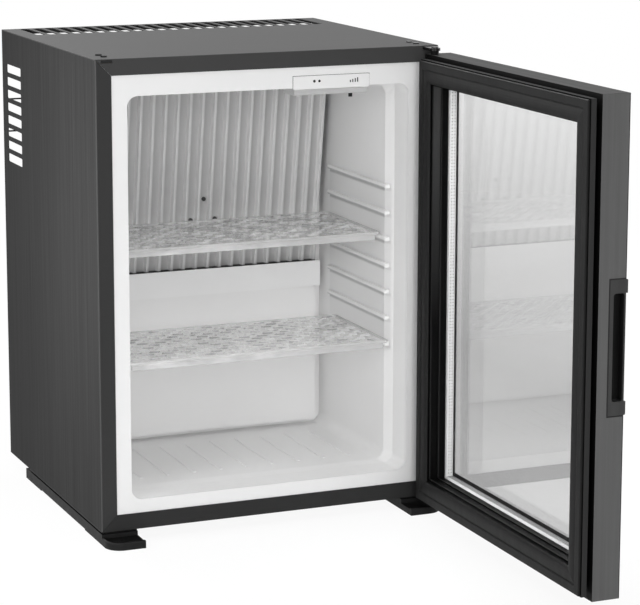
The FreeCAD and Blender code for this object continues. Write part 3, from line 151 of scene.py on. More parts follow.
def tone_ramp(tree, value, tones):
    """Neutral tones at positions from 0 to 1."""
    return ramp(tree, value, [(position, grey(tone)) for position, tone in tones])


def wandering(tree, wander, low, high):
    """A colour that goes from low to high with a noise."""
    return ramp(tree, wander, [(NOISE_LOW, low), (NOISE_HIGH, high)])


def mixed_colour(tree, share, first, second):
    inputs = {MIX_SHARE: share, MIX_FIRST: first, MIX_SECOND: second}
    return add(tree, "ShaderNodeMix", inputs, data_type="RGBA").outputs[MIX_RESULT]


def mixed_output(tree, output, share, first, second):
    """An output that shows the first shader where the share is 0, and the second where it is 1."""
    mixed = add(tree, "ShaderNodeMixShader", {0: share, 1: first.outputs[0], 2: second.outputs[0]})
    tree.links.new(mixed.outputs[0], tree.nodes[output].inputs["Surface"])


def paint(tree, bsdf, colour, roughness):
    tree.links.new(colour, bsdf.inputs["Base Color"])
    tree.links.new(roughness, bsdf.inputs["Roughness"])


def add_relief(tree, bsdf, where, pits, depth):
    height = noise(tree, where, pits, RELIEF_DETAIL)
    bump = add(tree, "ShaderNodeBump", {"Height": height, "Strength": 1.0, "Distance": depth})
    tree.links.new(bump.outputs[0], bsdf.inputs["Normal"])


# Ways that a face can look: an axis, and the parts of its normal on that axis between which a mask
# goes from 0 to 1. The inner side of the open door looks along minus X, its outer side along X.
FORWARD = ("Y", -0.6, -0.9)
DOOR_INNER_SIDE = ("X", -0.6, -0.9)
NOT_DOOR_OUTER_SIDE = ("X", 0.5, 0.2)
UPWARD = ("Z", 0.5, 0.9)
FLAT_UPWARD = ("Z", 0.75, 0.97)
NOT_UPWARD = ("Z", 0.9, 0.6)
DOWNWARD = ("Z", 0.1, -0.5)


def facing(tree, axis, start, end):
    """0 to 1 as a face turns from start to end, given as the part of its normal on an axis."""
    return ranged(tree, along(tree, normal_of(tree), axis), 0.0, 1.0, start, end)


def inside(tree, low, high, edge):
    """1 inside a box, falling to 0 over an edge round it."""
    where = place_of(tree)
    shares = []
    for axis, start, end in zip("XYZ", low, high):
        half = (end - start) / 2
        off = off_from(tree, along(tree, where, axis), (start + end) / 2)
        shares.append(ranged(tree, off, 1.0, 0.0, half, half + edge))
    return product(tree, *shares)


def textured(name, tones, grain, rough, pits=None, depth=0.0, masks=(), sockets=None):
    """A surface whose colour and gloss wander along a grain, with fine relief over it.

    Grain and pits are noise scales. A mask gives another colour and, from the node tree, where
    that colour shows. Sockets set other values of the shader.
    """
    material, tree, bsdf = surface(name, sockets or {})
    where = place_of(tree)
    wander = noise(tree, where, grain)
    colour = wandering(tree, wander, *tones)
    for second, share in masks:
        colour = mixed_colour(tree, share(tree), colour, second)
    paint(tree, bsdf, colour, ranged(tree, wander, *rough))
    if depth:
        add_relief(tree, bsdf, where, pits, depth)
    return material


# The sight edge of the open door: its middle and half sizes along Y and Z.
SIGHT_MIDDLE = (-0.184, 0.269)
SIGHT_HALF = (0.169, 0.2245)
# The inner trim: how far out from the sight edge it reaches, its tones over that way, lighter on its
# edges as painted highlights, the tone of its inner side, and its grain and roughness.
TRIM_WAY = (-0.0005, 0.0295)
TRIM_TONES = ((0.0, 0.020), (0.03, 0.020), (0.05, 0.0025), (0.70, 0.003), (0.90, 0.036), (1.0, 0.036))
TRIM_INNER_TONE = 0.002
TRIM_GRAIN = (160, 160, 20)
TRIM_ROUGH = (0.45, 0.58)
# The recess between the trim's two ribs, where it lies across the door, and the share of the way
# and the heights over which the painted highlight in it comes and goes.
RIB_MIDDLE = 0.1755
RIB_HALF = 0.0046
RIB_EDGE = 0.0004
LIT_TONE = 0.060
LIT_WAY_SHARES = (0.08, 0.12)
LIT_HEIGHTS = (0.22, 0.50)


def trim_depth(tree):
    """How far a place on the inner trim lies outside the sight edge."""
    where = place_of(tree)
    far = None
    for axis, middle, half in zip("YZ", SIGHT_MIDDLE, SIGHT_HALF):
        off = math_of(tree, "SUBTRACT", off_from(tree, along(tree, where, axis), middle), half)
        far = off if far is None else math_of(tree, "MAXIMUM", far, off)
    return far


def trim_finish():
    """Black inner trim with painted light: painted highlights on its outer edge and its ribs, and on
    its upper end.
    """
    material, tree, bsdf = surface("door_trim_plastic", {SPECULAR: 0.05})
    where = place_of(tree)
    way = ranged(tree, trim_depth(tree), 0.0, 1.0, *TRIM_WAY)
    off_ribs = off_from(tree, along(tree, where, "X"), RIB_MIDDLE)
    lit = product(
        tree,
        ranged(tree, along(tree, where, "Z"), 0.0, 1.0, *LIT_HEIGHTS),
        ranged(tree, way, 1.0, 0.0, *LIT_WAY_SHARES),
        ranged(tree, off_ribs, 1.0, 0.0, RIB_HALF, RIB_HALF + RIB_EDGE),
    )
    shade = mixed_colour(tree, lit, tone_ramp(tree, way, TRIM_TONES), grey(LIT_TONE))
    shade = mixed_colour(tree, facing(tree, *DOOR_INNER_SIDE), shade, grey(TRIM_INNER_TONE))
    paint(tree, bsdf, shade, ranged(tree, noise(tree, where, TRIM_GRAIN), *TRIM_ROUGH))
    return material


# The glass: tones from its lower to its upper height, darker low down as a painted shade that stands
# in for reflections, how far they waver, and each pane's share.
GLASS_HEIGHTS = (0.05, 0.50)
GLASS_TONES = ((0.0, 0.76), (0.11, 0.76), (0.33, 0.725), (0.67, 0.86), (0.95, 0.98))
GLASS_WAVER = 0.02
GLASS_WAVER_SCALE = even(3)
GLASS_ROUGH = (0.0, 0.01)
GLASS_ROUGH_SCALE = even(5)
INNER_PANE_SHARE = 0.2
OUTER_PANE_SHARE = 1.8


def glass_finish(name, pane_share):
    """Clear glass with painted shade, a little deeper in tone towards its lower end, that lets light
    through.
    """
    material, tree, bsdf = surface(name, {TRANSMISSION: 1.0, "IOR": 1.5})
    where = place_of(tree)
    height = ranged(tree, along(tree, where, "Z"), 0.0, 1.0, *GLASS_HEIGHTS)
    waver = ranged(tree, noise(tree, where, GLASS_WAVER_SCALE), -GLASS_WAVER, GLASS_WAVER)
    tones = [(position, tone**pane_share) for position, tone in GLASS_TONES]
    shade = tone_ramp(tree, math_of(tree, "ADD", height, waver), tones)
    paint(tree, bsdf, shade, ranged(tree, noise(tree, where, GLASS_ROUGH_SCALE), *GLASS_ROUGH))
    shadow = add(tree, "ShaderNodeLightPath").outputs["Is Shadow Ray"]
    through = add(tree, "ShaderNodeBsdfTransparent", {"Color": grey(1.0)})
    mixed_output(tree, "Material Output", shadow, bsdf, through)
    return material


# Noise scales, and those of the grained film on sheets and bars by the axis that its grain follows.
FINE = even(900)
CLOUDY = even(14)
GRAIN = {"X": (5, 300, 300), "Y": (300, 5, 300), "Z": (300, 300, 5)}
GRAIN_PITS = {"X": (12, 500, 500), "Y": (500, 12, 500), "Z": (500, 500, 12)}
GRAIN_DEPTH = 0.00006

# The casing: how far its tone spreads, and how much brighter its rounded folds are, as a painted
# highlight. A fold is known by the product of its normal's parts along X and Y.
CASING_SPREAD = 0.22
CASING_ROUGH = (0.50, 0.60)
FOLD_GAIN = 1.9
FOLD_PRODUCTS = (0.15, 0.4)


def spread(level, share):
    return greys(level * (1 - share), level * (1 + share))


def upright_fold(tree):
    """1 on the rounded fold between a side of the casing and its front, where a highlight is painted.
    """
    normal = normal_of(tree)
    both = math_of(tree, "MULTIPLY", along(tree, normal, "X"), along(tree, normal, "Y"))
    return ranged(tree, math_of(tree, "ABSOLUTE", both), 0.0, 1.0, *FOLD_PRODUCTS)


def casing_finish(name, axis, level, front_level, specular):
    """The casing's grained finish with painted light: a level of its own for faces that look forward,
    and a painted highlight on its rounded folds.
    """
    return textured(
        name,
        tones=spread(level, CASING_SPREAD),
        grain=GRAIN[axis],
        rough=CASING_ROUGH,
        pits=GRAIN_PITS[axis],
        depth=GRAIN_DEPTH,
        masks=[
            (grey(front_level), lambda tree: facing(tree, *FORWARD)),
            (grey(level * FOLD_GAIN), upright_fold),
        ],
        sockets={SPECULAR: specular},
    )


# The cold plate: where its first fin starts, the fins' pitch and tones along one pitch, which paint
# light and shade on its folds, its worn streaks, and the height of the drip tray's rim, below which a
# painted shadow makes it dark.
FIN_START = -0.16025
FIN_PITCH = 0.0153
FIN_TONES = (
    (0.0, 0.44), (0.55, 0.57), (0.58, 0.98), (0.68, 0.96), (0.71, 0.78), (0.87, 0.63), (0.91, 0.36),
    (1.0, 0.44),
)
PLATE_GRAIN = (300, 300, 12)
PLATE_ROUGH = (0.36, 0.48)
WORN_TONE = 0.3
WORN_SHARE = 0.12
TRAY_RIM = 0.2525
RIM_TONE = 0.06
RIM_FADE = (-0.001, 0.0004)


def plate_finish():
    """Satin aluminium sheet with painted light: a painted highlight on one side of each fold, painted
    shade on the other, and a painted shadow below the drip tray's rim.
    """
    material, tree, bsdf = surface("cold_aluminium", {"Metallic": 0.1})
    where = place_of(tree)
    along_fins = math_of(tree, "SUBTRACT", along(tree, where, "X"), FIN_START)
    turns = math_of(tree, "DIVIDE", along_fins, FIN_PITCH)
    shade = tone_ramp(tree, math_of(tree, "FRACT", turns), FIN_TONES)
    wander = noise(tree, where, PLATE_GRAIN)
    shade = mixed_colour(tree, ranged(tree, wander, 0.0, WORN_SHARE), shade, grey(WORN_TONE))
    over_rim = math_of(tree, "SUBTRACT", along(tree, where, "Z"), TRAY_RIM)
    shade = mixed_colour(tree, ranged(tree, over_rim, 1.0, 0.0, *RIM_FADE), shade, grey(RIM_TONE))
    paint(tree, bsdf, shade, ranged(tree, wander, *PLATE_ROUGH))
    return material


# The liner's rails: the lowest one's underside, their pitch and count, how far the shade under one
# reaches, and where they stand in depth and across, each with the edge over which the shade fades.
RAIL_FOOT = 0.184
RAIL_PITCH = 0.0306
RAILS = 7
RAIL_SHADE = 0.0055
RAIL_TURNS = (-0.2, RAILS - 0.8)
RAIL_TURN_EDGE = 0.05
RAIL_DEPTH = (0.0635, 0.236)
RAIL_DEPTH_EDGE = 0.003
RAIL_MIDDLE = -0.00725
RAIL_ACROSS = 0.150
RAIL_ACROSS_EDGE = 0.001
RAIL_TONE = 0.52
# A wall is known by the part of its normal along X.
WALL_NORMALS = (0.9, 0.98)
# The liner's own tones, and the painted shade on its front flange.
LINER_TONES = (grey(0.90, 0.002), grey(0.92, 0.001))
LINER_ROUGH = (0.34, 0.44)
LINER_RELIEF = 0.00004
FLANGE_DEPTH = 0.026
FLANGE_EDGE = 0.004
FLANGE_TONE = 0.84


def rail_shade(tree):
    """1 on the lower sides of the liner's rails and on the wall close under each."""
    where = place_of(tree)
    over_foot = math_of(tree, "SUBTRACT", along(tree, where, "Z"), RAIL_FOOT)
    turns = math_of(tree, "DIVIDE", over_foot, RAIL_PITCH)
    start = 1.0 - RAIL_SHADE / RAIL_PITCH
    under = ranged(tree, math_of(tree, "FRACT", turns), 0.0, 1.0, start, (start + 1.0) / 2)
    sideways = math_of(tree, "ABSOLUTE", along(tree, normal_of(tree), "X"))
    under = product(tree, under, ranged(tree, sideways, 0.0, 1.0, *WALL_NORMALS))
    share = math_of(tree, "MAXIMUM", under, facing(tree, *DOWNWARD))
    across = off_from(tree, along(tree, where, "X"), RAIL_MIDDLE)
    depth = along(tree, where, "Y")
    limits = (
        (turns, RAIL_TURNS[0], RAIL_TURNS[0] + RAIL_TURN_EDGE),
        (turns, RAIL_TURNS[1], RAIL_TURNS[1] - RAIL_TURN_EDGE),
        (across, RAIL_ACROSS, RAIL_ACROSS + RAIL_ACROSS_EDGE),
        (depth, RAIL_DEPTH[0], RAIL_DEPTH[0] + RAIL_DEPTH_EDGE),
        (depth, RAIL_DEPTH[1], RAIL_DEPTH[1] - RAIL_DEPTH_EDGE),
    )
    for value, outside, within in limits:
        share = product(tree, share, ranged(tree, value, 0.0, 1.0, outside, within))
    return share


def liner_finish():
    """White formed sheet with painted shade: a little greyer on its front flange, and a painted
    shadow under its rails.
    """
    material, tree, bsdf = surface("white_liner", {SPECULAR: 0.35})
    where = place_of(tree)
    wander = noise(tree, where, CLOUDY)
    depth = along(tree, where, "Y")
    flange = ranged(tree, depth, 1.0, 0.0, FLANGE_DEPTH, FLANGE_DEPTH + FLANGE_EDGE)
    shade = mixed_colour(tree, flange, wandering(tree, wander, *LINER_TONES), grey(FLANGE_TONE))
    shade = mixed_colour(tree, rail_shade(tree), shade, grey(RAIL_TONE))
    paint(tree, bsdf, shade, ranged(tree, wander, *LINER_ROUGH))
    add_relief(tree, bsdf, where, FINE, LINER_RELIEF)
    return material


# The door frame: how far its tone spreads, and where across the open door its dark edge of painted
# shade starts.
FRAME_SPREAD = 0.07
FRAME_ROUGH = (0.45, 0.56)
FRAME_DARK_TONE = 0.002
FRONT_EDGE = 0.2053
FRONT_EDGE_FADE = 0.0002


def frame_dark(tree):
    """1 on the back of the door frame, behind the gasket, and along its front edge, where shade is
    painted.
    """
    across = along(tree, place_of(tree), "X")
    edge = ranged(tree, across, 0.0, 1.0, FRONT_EDGE, FRONT_EDGE + FRONT_EDGE_FADE)
    edge = product(tree, edge, facing(tree, *NOT_DOOR_OUTER_SIDE))
    return math_of(tree, "MAXIMUM", facing(tree, *DOOR_INNER_SIDE), edge)


def frame_finish(axis, level):
    """The door frame's finish, with painted shade: black where it lies in shadow."""
    return textured(
        f"door_frame_metal_{axis.lower()}",
        tones=spread(level, FRAME_SPREAD),
        grain=GRAIN[axis],
        rough=FRAME_ROUGH,
        pits=GRAIN_PITS[axis],
        depth=GRAIN_DEPTH,
        masks=[(grey(FRAME_DARK_TONE), frame_dark)],
        sockets={SPECULAR: 0.06},
    )


# The skids' upper edge, which lies close under the casing, where a painted shadow runs along them.
SKID_EDGE = 0.0122
SKID_EDGE_FADE = 0.0003


def skid_dark(tree):
    """1 on the skids' upper sides, which are darker, and along their upper edge as a painted shadow.
    """
    height = along(tree, place_of(tree), "Z")
    edge = ranged(tree, height, 0.0, 1.0, SKID_EDGE, SKID_EDGE + SKID_EDGE_FADE)
    return math_of(tree, "MAXIMUM", edge, facing(tree, *FLAT_UPWARD))


# The hollow of the door's grip, painted dark as shade: two corners of a box, and the edge over which
# it gets dark.
GRIP_LOW = (0.193, -0.3825, 0.218)
GRIP_HIGH = (0.2045, -0.36, 0.326)
GRIP_EDGE = 0.002
# The shelves: where their edges' tone falls off to the right, as painted light, and to what share,
# and the noise that picks the pads whose sides are dark with painted shade.
EDGE_FALL = (-0.08, 0.10)
EDGE_FALL_SHARE = 0.8
DARK_PAD_SCALE = (40, 55, 55)
DARK_PAD_NOISE = (0.46, 0.60)
SHELF_PITS = even(240)


def edge_fall(tree):
    """0 at the left of the shelves, growing to a share towards their right, as the painted light on
    their edges fades.
    """
    across = along(tree, place_of(tree), "X")
    return ranged(tree, across, 0.0, EDGE_FALL_SHARE, *EDGE_FALL)


def pad_dark(tree):
    """1 on the sides of some of the pads, where shade is painted."""
    picked = noise(tree, place_of(tree), DARK_PAD_SCALE)
    some = ranged(tree, picked, 0.0, 1.0, *DARK_PAD_NOISE)
    return product(tree, some, facing(tree, *NOT_UPWARD))


FINISHES = {
    # The levels here and on the door frame below are painted light and shade, set against the own
    # finishes further down.
    "casing_sheet": casing_finish(
        "casing_sheet", "Z", level=0.038, front_level=0.044, specular=0.01,
    ),
    "rear_sheet": textured(
        "rear_sheet", tones=greys(0.018, 0.026), grain=CLOUDY, rough=(0.55, 0.7),
        pits=FINE, depth=0.0001, sockets={SPECULAR: 0.25},
    ),
    "white_liner": liner_finish(),
    "tray_plastic": textured(
        "tray_plastic", tones=greys(0.93, 0.95), grain=CLOUDY, rough=(0.3, 0.4),
        pits=FINE, depth=0.00004,
    ),
    "foam": textured(
        "foam", tones=((0.62, 0.5, 0.2, 1), (0.75, 0.62, 0.3, 1)), grain=even(60), rough=(0.85, 0.95),
        pits=even(400), depth=0.0005,
    ),
    "cold_aluminium": plate_finish(),
    "screw_steel": textured(
        "screw_steel", tones=greys(0.05, 0.09), grain=even(400), rough=(0.3, 0.45),
        sockets={"Metallic": 0.8},
    ),
    "unit_tube": textured(
        "unit_tube", tones=greys(0.010, 0.018), grain=even(60), rough=(0.38, 0.52),
        pits=FINE, depth=0.00005, sockets={SPECULAR: 0.35},
    ),
    "boiler_jacket": textured(
        "boiler_jacket", tones=greys(0.32, 0.46), grain=even(45), rough=(0.35, 0.5),
        sockets={"Metallic": 0.9},
    ),
    "mineral_wool": textured(
        "mineral_wool", tones=((0.45, 0.4, 0.24, 1), (0.6, 0.55, 0.36, 1)), grain=(250, 250, 40),
        rough=(0.9, 1.0), pits=(900, 900, 120), depth=0.0006,
    ),
    "clear_lens": textured(
        "clear_lens", tones=greys(0.80, 0.86), grain=CLOUDY, rough=(0.35, 0.45),
        pits=FINE, depth=0.00004, sockets={TRANSMISSION: 0.45},
    ),
    "black_plastic": textured(
        "black_plastic", tones=greys(0.004, 0.007), grain=even(200), rough=(0.45, 0.6),
        pits=FINE, depth=0.00005, sockets={SPECULAR: 0.3},
    ),
    "skid_plastic": textured(
        "skid_plastic", tones=greys(0.012, 0.018), grain=even(120), rough=(0.5, 0.62),
        pits=FINE, depth=0.00008, masks=[(grey(0.002), skid_dark)], sockets={SPECULAR: 0.1},
    ),
    "hinge_steel": textured(
        "hinge_steel", tones=greys(0.004, 0.007), grain=even(90), rough=(0.22, 0.32),
        pits=FINE, depth=0.00004, sockets={SPECULAR: 0.25},
    ),
    "plug_plastic": textured(
        "plug_plastic", tones=greys(0.002, 0.004), grain=even(200), rough=(0.5, 0.6),
        # Painted light: the plugs' faces that look forward are lighter.
        pits=FINE, depth=0.00004, masks=[(grey(0.028), lambda tree: facing(tree, *FORWARD))],
        sockets={SPECULAR: 0.03},
    ),
    "electronics_plastic": textured(
        "electronics_plastic", tones=greys(0.009, 0.014), grain=even(90), rough=(0.5, 0.65),
        pits=FINE, depth=0.0001, sockets={SPECULAR: 0.3},
    ),
    "door_frame_metal": frame_finish("Z", level=0.120),
    "door_trim_plastic": trim_finish(),
    "gasket_rubber": textured(
        "gasket_rubber", tones=greys(0.008, 0.011), grain=(120, 120, 30), rough=(0.5, 0.6),
        pits=FINE, depth=0.00004, sockets={SPECULAR: 0.15},
    ),
    "door_glass": glass_finish("door_glass", INNER_PANE_SHARE),
    "spacer_aluminium": textured(
        "spacer_aluminium", tones=greys(0.93, 0.96), grain=(300, 300, 12), rough=(0.4, 0.5),
        # Painted shade: the spacer's faces that look up are darker.
        masks=[(grey(0.30), lambda tree: facing(tree, *UPWARD))],
    ),
    "handle_plastic": textured(
        "handle_plastic", tones=greys(0.040, 0.050), grain=(160, 160, 20), rough=(0.42, 0.55),
        pits=FINE, depth=0.00005,
        # Painted shade: the hollow of the grip is nearly black.
        masks=[(grey(0.001), lambda tree: inside(tree, GRIP_LOW, GRIP_HIGH, GRIP_EDGE))],
        sockets={SPECULAR: 0.2},
    ),
    "clear_shelf": textured(
        "clear_shelf", tones=greys(0.97, 0.99), grain=CLOUDY, rough=(0.03, 0.07),
        pits=SHELF_PITS, depth=0.0001, sockets={TRANSMISSION: 0.5, "IOR": 1.3, "Alpha": 0.28},
    ),
}
# The same clear plastic on the shelves' edges and lips, and on their pads.
SHELF_EDGES = textured(
    "clear_shelf_edges", tones=greys(0.66, 1.0), grain=(40, 160, 160), rough=(0.12, 0.2),
    # Painted light: the edges' tone is lighter at the left and falls off to the right.
    pits=SHELF_PITS, depth=0.0001, masks=[(grey(0.70), edge_fall)],
    sockets={TRANSMISSION: 0.1, "IOR": 1.3, "Alpha": 0.62},
)
SHELF_PADS = textured(
    "clear_shelf_pads", tones=greys(0.94, 1.0), grain=(70, 160, 160), rough=(0.12, 0.2),
    # Painted shade on the sides of some of the pads.
    pits=SHELF_PITS, depth=0.0001, masks=[(grey(0.34), pad_dark)],
    sockets={TRANSMISSION: 0.1, "IOR": 1.3, "Alpha": 0.42},
)

SLOT_OF = {
    "casing_sheet": "side_panel_left side_panel_right top_panel bottom_panel",
    "rear_sheet": "rear_wall",
    "white_liner": "liner control_box",
    "tray_plastic": "drip_tray",
    "foam": "insulation_foam",
    "cold_aluminium": "evaporator_plate evaporator_block",
    "screw_steel": "evaporator_screws base_rail_screws upper_hinge_pin lower_hinge_pin"
    " heater_cartridge",
    "unit_tube": "evaporator_tube boiler_tube condenser_tube condenser_fins absorber_coil"
    " absorber_vessel vessel_brackets boiler_strap",
    "boiler_jacket": "boiler_housing",
    "mineral_wool": "boiler_wool",
    "clear_lens": "lamp_lens",
    "black_plastic": "status_lamp temperature_sensor temperature_button cable_gland",
    "skid_plastic": "base_rail_left base_rail_right upper_hinge_bush lower_hinge_bush",
    "hinge_steel": "upper_hinge_bracket hinge_screws guard_rods",
    "plug_plastic": "hinge_hole_plugs",
    "electronics_plastic": "electronics_box",
    "door_frame_metal": "door_rail_top door_rail_bottom door_stile_handle door_stile_hinge",
    "door_trim_plastic": "inner_trim_top inner_trim_bottom inner_trim_handle_side"
    " inner_trim_hinge_side",
    "gasket_rubber": "door_gasket",
    "door_glass": "outer_glass inner_glass",
    "spacer_aluminium": "glass_spacer",
    "handle_plastic": "door_handle",
    "clear_shelf": "shelf_upper shelf_lower",
}

# Nodes with a finish of their own: sheets and bars whose grain isn't upright, and the outer pane.
# Their levels are painted light and shade of one film: the top sheet lighter than the sides, the
# bottom sheet's front darker, and the door's level bars far darker than its stiles.
LEVEL_BARS = frame_finish("Y", level=0.036)
OWN_FINISHES = {
    "top_panel": casing_finish(
        "casing_sheet_top", "X", level=0.078, front_level=0.056, specular=0.05,
    ),
    "bottom_panel": casing_finish(
        "casing_sheet_bottom", "X", level=0.040, front_level=0.033, specular=0.05,
    ),
    "door_rail_top": LEVEL_BARS,
    "door_rail_bottom": LEVEL_BARS,
    "outer_glass": glass_finish("door_glass_outer", OUTER_PANE_SHARE),
}

for slot, names in SLOT_OF.items():
    for name in names.split():
        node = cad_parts[name]
        node.data.materials.clear()
        node.data.materials.append(OWN_FINISHES.get(name, FINISHES[slot]))


# Pieces made here. A shape is a list of corners in millimetres and a list of faces.


def joined(shapes):
    corners, faces = [], []
    for some_corners, some_faces in shapes:
        start = len(corners)
        corners += some_corners
        faces += [[start + index for index in face] for face in some_faces]
    return corners, faces


def band(first, second, count):
    """Faces between two rings of so many corners, given by the number of each ring's first corner."""
    faces = []
    for index in range(count):
        after = (index + 1) % count
        faces.append([first + index, first + after, second + after, second + index])
    return faces


def stacked(rings):
    """A closed shape through rings of equally many corners, with a face at each end."""
    count = len(rings[0])
    corners = [corner for ring in rings for corner in ring]
    last = len(corners) - count
    faces = [list(range(count)), list(range(last, len(corners)))]
    for first in range(0, last, count):
        faces += band(first, first + count, count)
    return corners, faces


def swept(section, outline):
    """A closed ring: each point of a section gives a level and an inset of a standing rectangle."""
    (left, right), (low, high) = outline
    rings = [
        [
            (level, left + inset, low + inset),
            (level, right - inset, low + inset),
            (level, right - inset, high - inset),
            (level, left + inset, high - inset),
        ]
        for level, inset in section
    ]
    count = len(rings[0])
    corners = [corner for ring in rings for corner in ring]
    faces = []
    for first in range(0, len(corners), count):
        faces += band(first, (first + count) % len(corners), count)
    return corners, faces


def octagon(x, y, cut, z):
    """A rectangle at a height with its four corners cut off."""
    return [
        (x[0] + cut, y[0], z), (x[1] - cut, y[0], z), (x[1], y[0] + cut, z), (x[1], y[1] - cut, z),
        (x[1] - cut, y[1], z), (x[0] + cut, y[1], z), (x[0], y[1] - cut, z), (x[0], y[0] + cut, z),
    ]


# How many corners an octagon has, and how many octagons lie in a slab. A slab's faces are its two
# ends and then a band between each two octagons.
OCTAGON_CORNERS = 8
SLAB_RINGS = 4
SLAB_ENDS = 2
SLAB_FACES = SLAB_ENDS + (SLAB_RINGS - 1) * OCTAGON_CORNERS


def slab(x, y, z, corner, bevel):
    """A flat block with cut corners and bevelled upper and lower edges."""
    inner_x, inner_y = (x[0] + bevel, x[1] - bevel), (y[0] + bevel, y[1] - bevel)
    return stacked([
        octagon(inner_x, inner_y, corner, z[0]),
        octagon(x, y, corner, z[0] + bevel),
        octagon(x, y, corner, z[1] - bevel),
        octagon(inner_x, inner_y, corner, z[1]),
    ])


def piece(name, shape, body, slot, replaced=None, finishes=()):
    """A named piece on a body. Other finishes each start at a numbered face."""
    corners, faces = shape
    mesh = bpy.data.meshes.new(name)
    placed = [
        tuple((value + shift) * MILLIMETRE for value, shift in zip(corner, CASING_CORNER))
        for corner in corners
    ]
    mesh.from_pydata(placed, [], faces)
    work = bmesh.new()
    work.from_mesh(mesh)
    bmesh.ops.recalc_face_normals(work, faces=work.faces)
    work.to_mesh(mesh)
    work.free()
    mesh.materials.append(FINISHES[slot])
    for number, (first, finish) in enumerate(finishes, 1):
        mesh.materials.append(finish)
        for face in mesh.polygons[first:]:
            face.material_index = number
    made = bpy.data.objects.new(name, mesh)
    bpy.context.scene.collection.objects.link(made)
    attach(made, body)
    if replaced:
        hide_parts(replaced)


# The gasket on the inner trim: the trim's outer edges, the trim's face, and a section given as
# heights over that face and insets from those edges.
TRIM_EDGES = ((-403.5, -16.0), (3.0, 507.0))
TRIM_FACE = 373.5
GASKET_SECTION = (
    (0.0, 2.0), (1.2, 2.0), (1.6, 1.2), (2.6, 1.2), (2.9, 1.6), (3.0, 2.2), (3.0, 9.6),
    (2.7, 10.4), (2.0, 11.0), (2.0, 12.0), (2.3, 13.4), (2.7, 16.0), (2.9, 19.0), (2.8, 21.5),
    (2.4, 23.4), (1.6, 24.8), (0.7, 25.4), (0.0, 25.5),
)
piece(
    "gasket_profile",
    swept([(TRIM_FACE - height, inset) for height, inset in GASKET_SECTION], TRIM_EDGES),
    "door",
    "gasket_rubber",
    "door_gasket",
)

# Between the panes: the spacer with its edges eased, a dark seal that covers it on the outer pane
# and reaches a little past it, and the spacer's small holes.
DOOR_EDGES = ((-408.0, -6.0), (-1.5, 511.5))
SPACER_START, SPACER_REACH = 26.0, 33.0
SPACER_EASE = 0.4
PANE_GAP = (401.35, 409.25)
SEAL_LEVELS = (409.3, 409.5)
SEAL_REACH = 37.5
piece(
    "spacer_bar",
    swept(
        [
            (PANE_GAP[0], SPACER_START),
            (PANE_GAP[0], SPACER_REACH - SPACER_EASE),
            (PANE_GAP[0] + SPACER_EASE, SPACER_REACH),
            (PANE_GAP[1] - SPACER_EASE, SPACER_REACH),
            (PANE_GAP[1], SPACER_REACH - SPACER_EASE),
            (PANE_GAP[1], SPACER_START),
        ],
        DOOR_EDGES,
    ),
    "door",
    "spacer_aluminium",
    "glass_spacer",
)
piece(
    "pane_edge_seal",
    swept(
        [
            (SEAL_LEVELS[0], SPACER_START),
            (SEAL_LEVELS[0], SEAL_REACH),
            (SEAL_LEVELS[1], SEAL_REACH),
            (SEAL_LEVELS[1], SPACER_START),
        ],
        DOOR_EDGES,
    ),
    "door",
    "gasket_rubber",
)

HOLE_RADIUS = 0.6
HOLE_PROUD = 0.1
HOLE_PITCH = 3.6
HOLE_SIDES = 6
# Where the two rows of holes lie, as shares of the gap between the panes.
HOLE_ROW_SHARES = (0.3, 0.72)


def spacer_hole(axis, place, way, level, centre):
    """One dark dot on a face of the spacer that looks one way along an axis."""
    rings = []
    for proud in (-HOLE_PROUD, HOLE_PROUD):
        ring = []
        for side in range(HOLE_SIDES):
            turn = 2 * math.pi * side / HOLE_SIDES
            over, beside = HOLE_RADIUS * math.cos(turn), HOLE_RADIUS * math.sin(turn)
            face = place + way * proud
            spot = (face, centre + beside) if axis == "Y" else (centre + beside, face)
            ring.append((level + over, *spot))
        rings.append(ring)
    return stacked(rings)


def spacer_holes():
    """Rows of small dark dots on the faces of the spacer that look into the gap."""
    (near, far), (low, high) = [
        (edge[0] + SPACER_REACH, edge[1] - SPACER_REACH) for edge in DOOR_EDGES
    ]
    faces = (
        ("Y", near, 1, low, high),
        ("Y", far, -1, low, high),
        ("Z", low, 1, near, far),
        ("Z", high, -1, near, far),
    )
    shapes = []
    for axis, place, way, start, end in faces:
        for share in HOLE_ROW_SHARES:
            level = PANE_GAP[0] + (PANE_GAP[1] - PANE_GAP[0]) * share
            for number in range(1, int((end - start) / HOLE_PITCH)):
                shapes.append(spacer_hole(axis, place, way, level, start + HOLE_PITCH * number))
    return joined(shapes)


piece("spacer_holes", spacer_holes(), "door", "black_plastic")

# Clear shelves: a plate with a lip at its front and rows of raised pads, each row half a pitch on.
# The pads' sizes are across, then in depth, then in height.
SHELF_WIDTH = (42.0, 360.0)
SHELF_DEPTH = 155.0
SHELF_PLATE = 3.0
SHELF_BEVEL = 0.5
SHELF_CORNER = 3.0
LIP_HEIGHT = 9.0
LIP_WALL = 2.4
LIP_INSET = 7.0
PAD_SIZE = (13.0, 5.5, 1.3)
PAD_PITCH = (22.0, 11.0)
PAD_MARGIN = (9.0, 7.0)
PAD_CORNER = 1.6
PAD_SLOPE = 0.7
# How far a pad and the lip reach into the plate.
ROOT = 0.05
# The front edge and the upper side of each plate.
SHELVES = {"shelf_lower": (36.0, 178.2), "shelf_upper": (60.0, 300.6)}


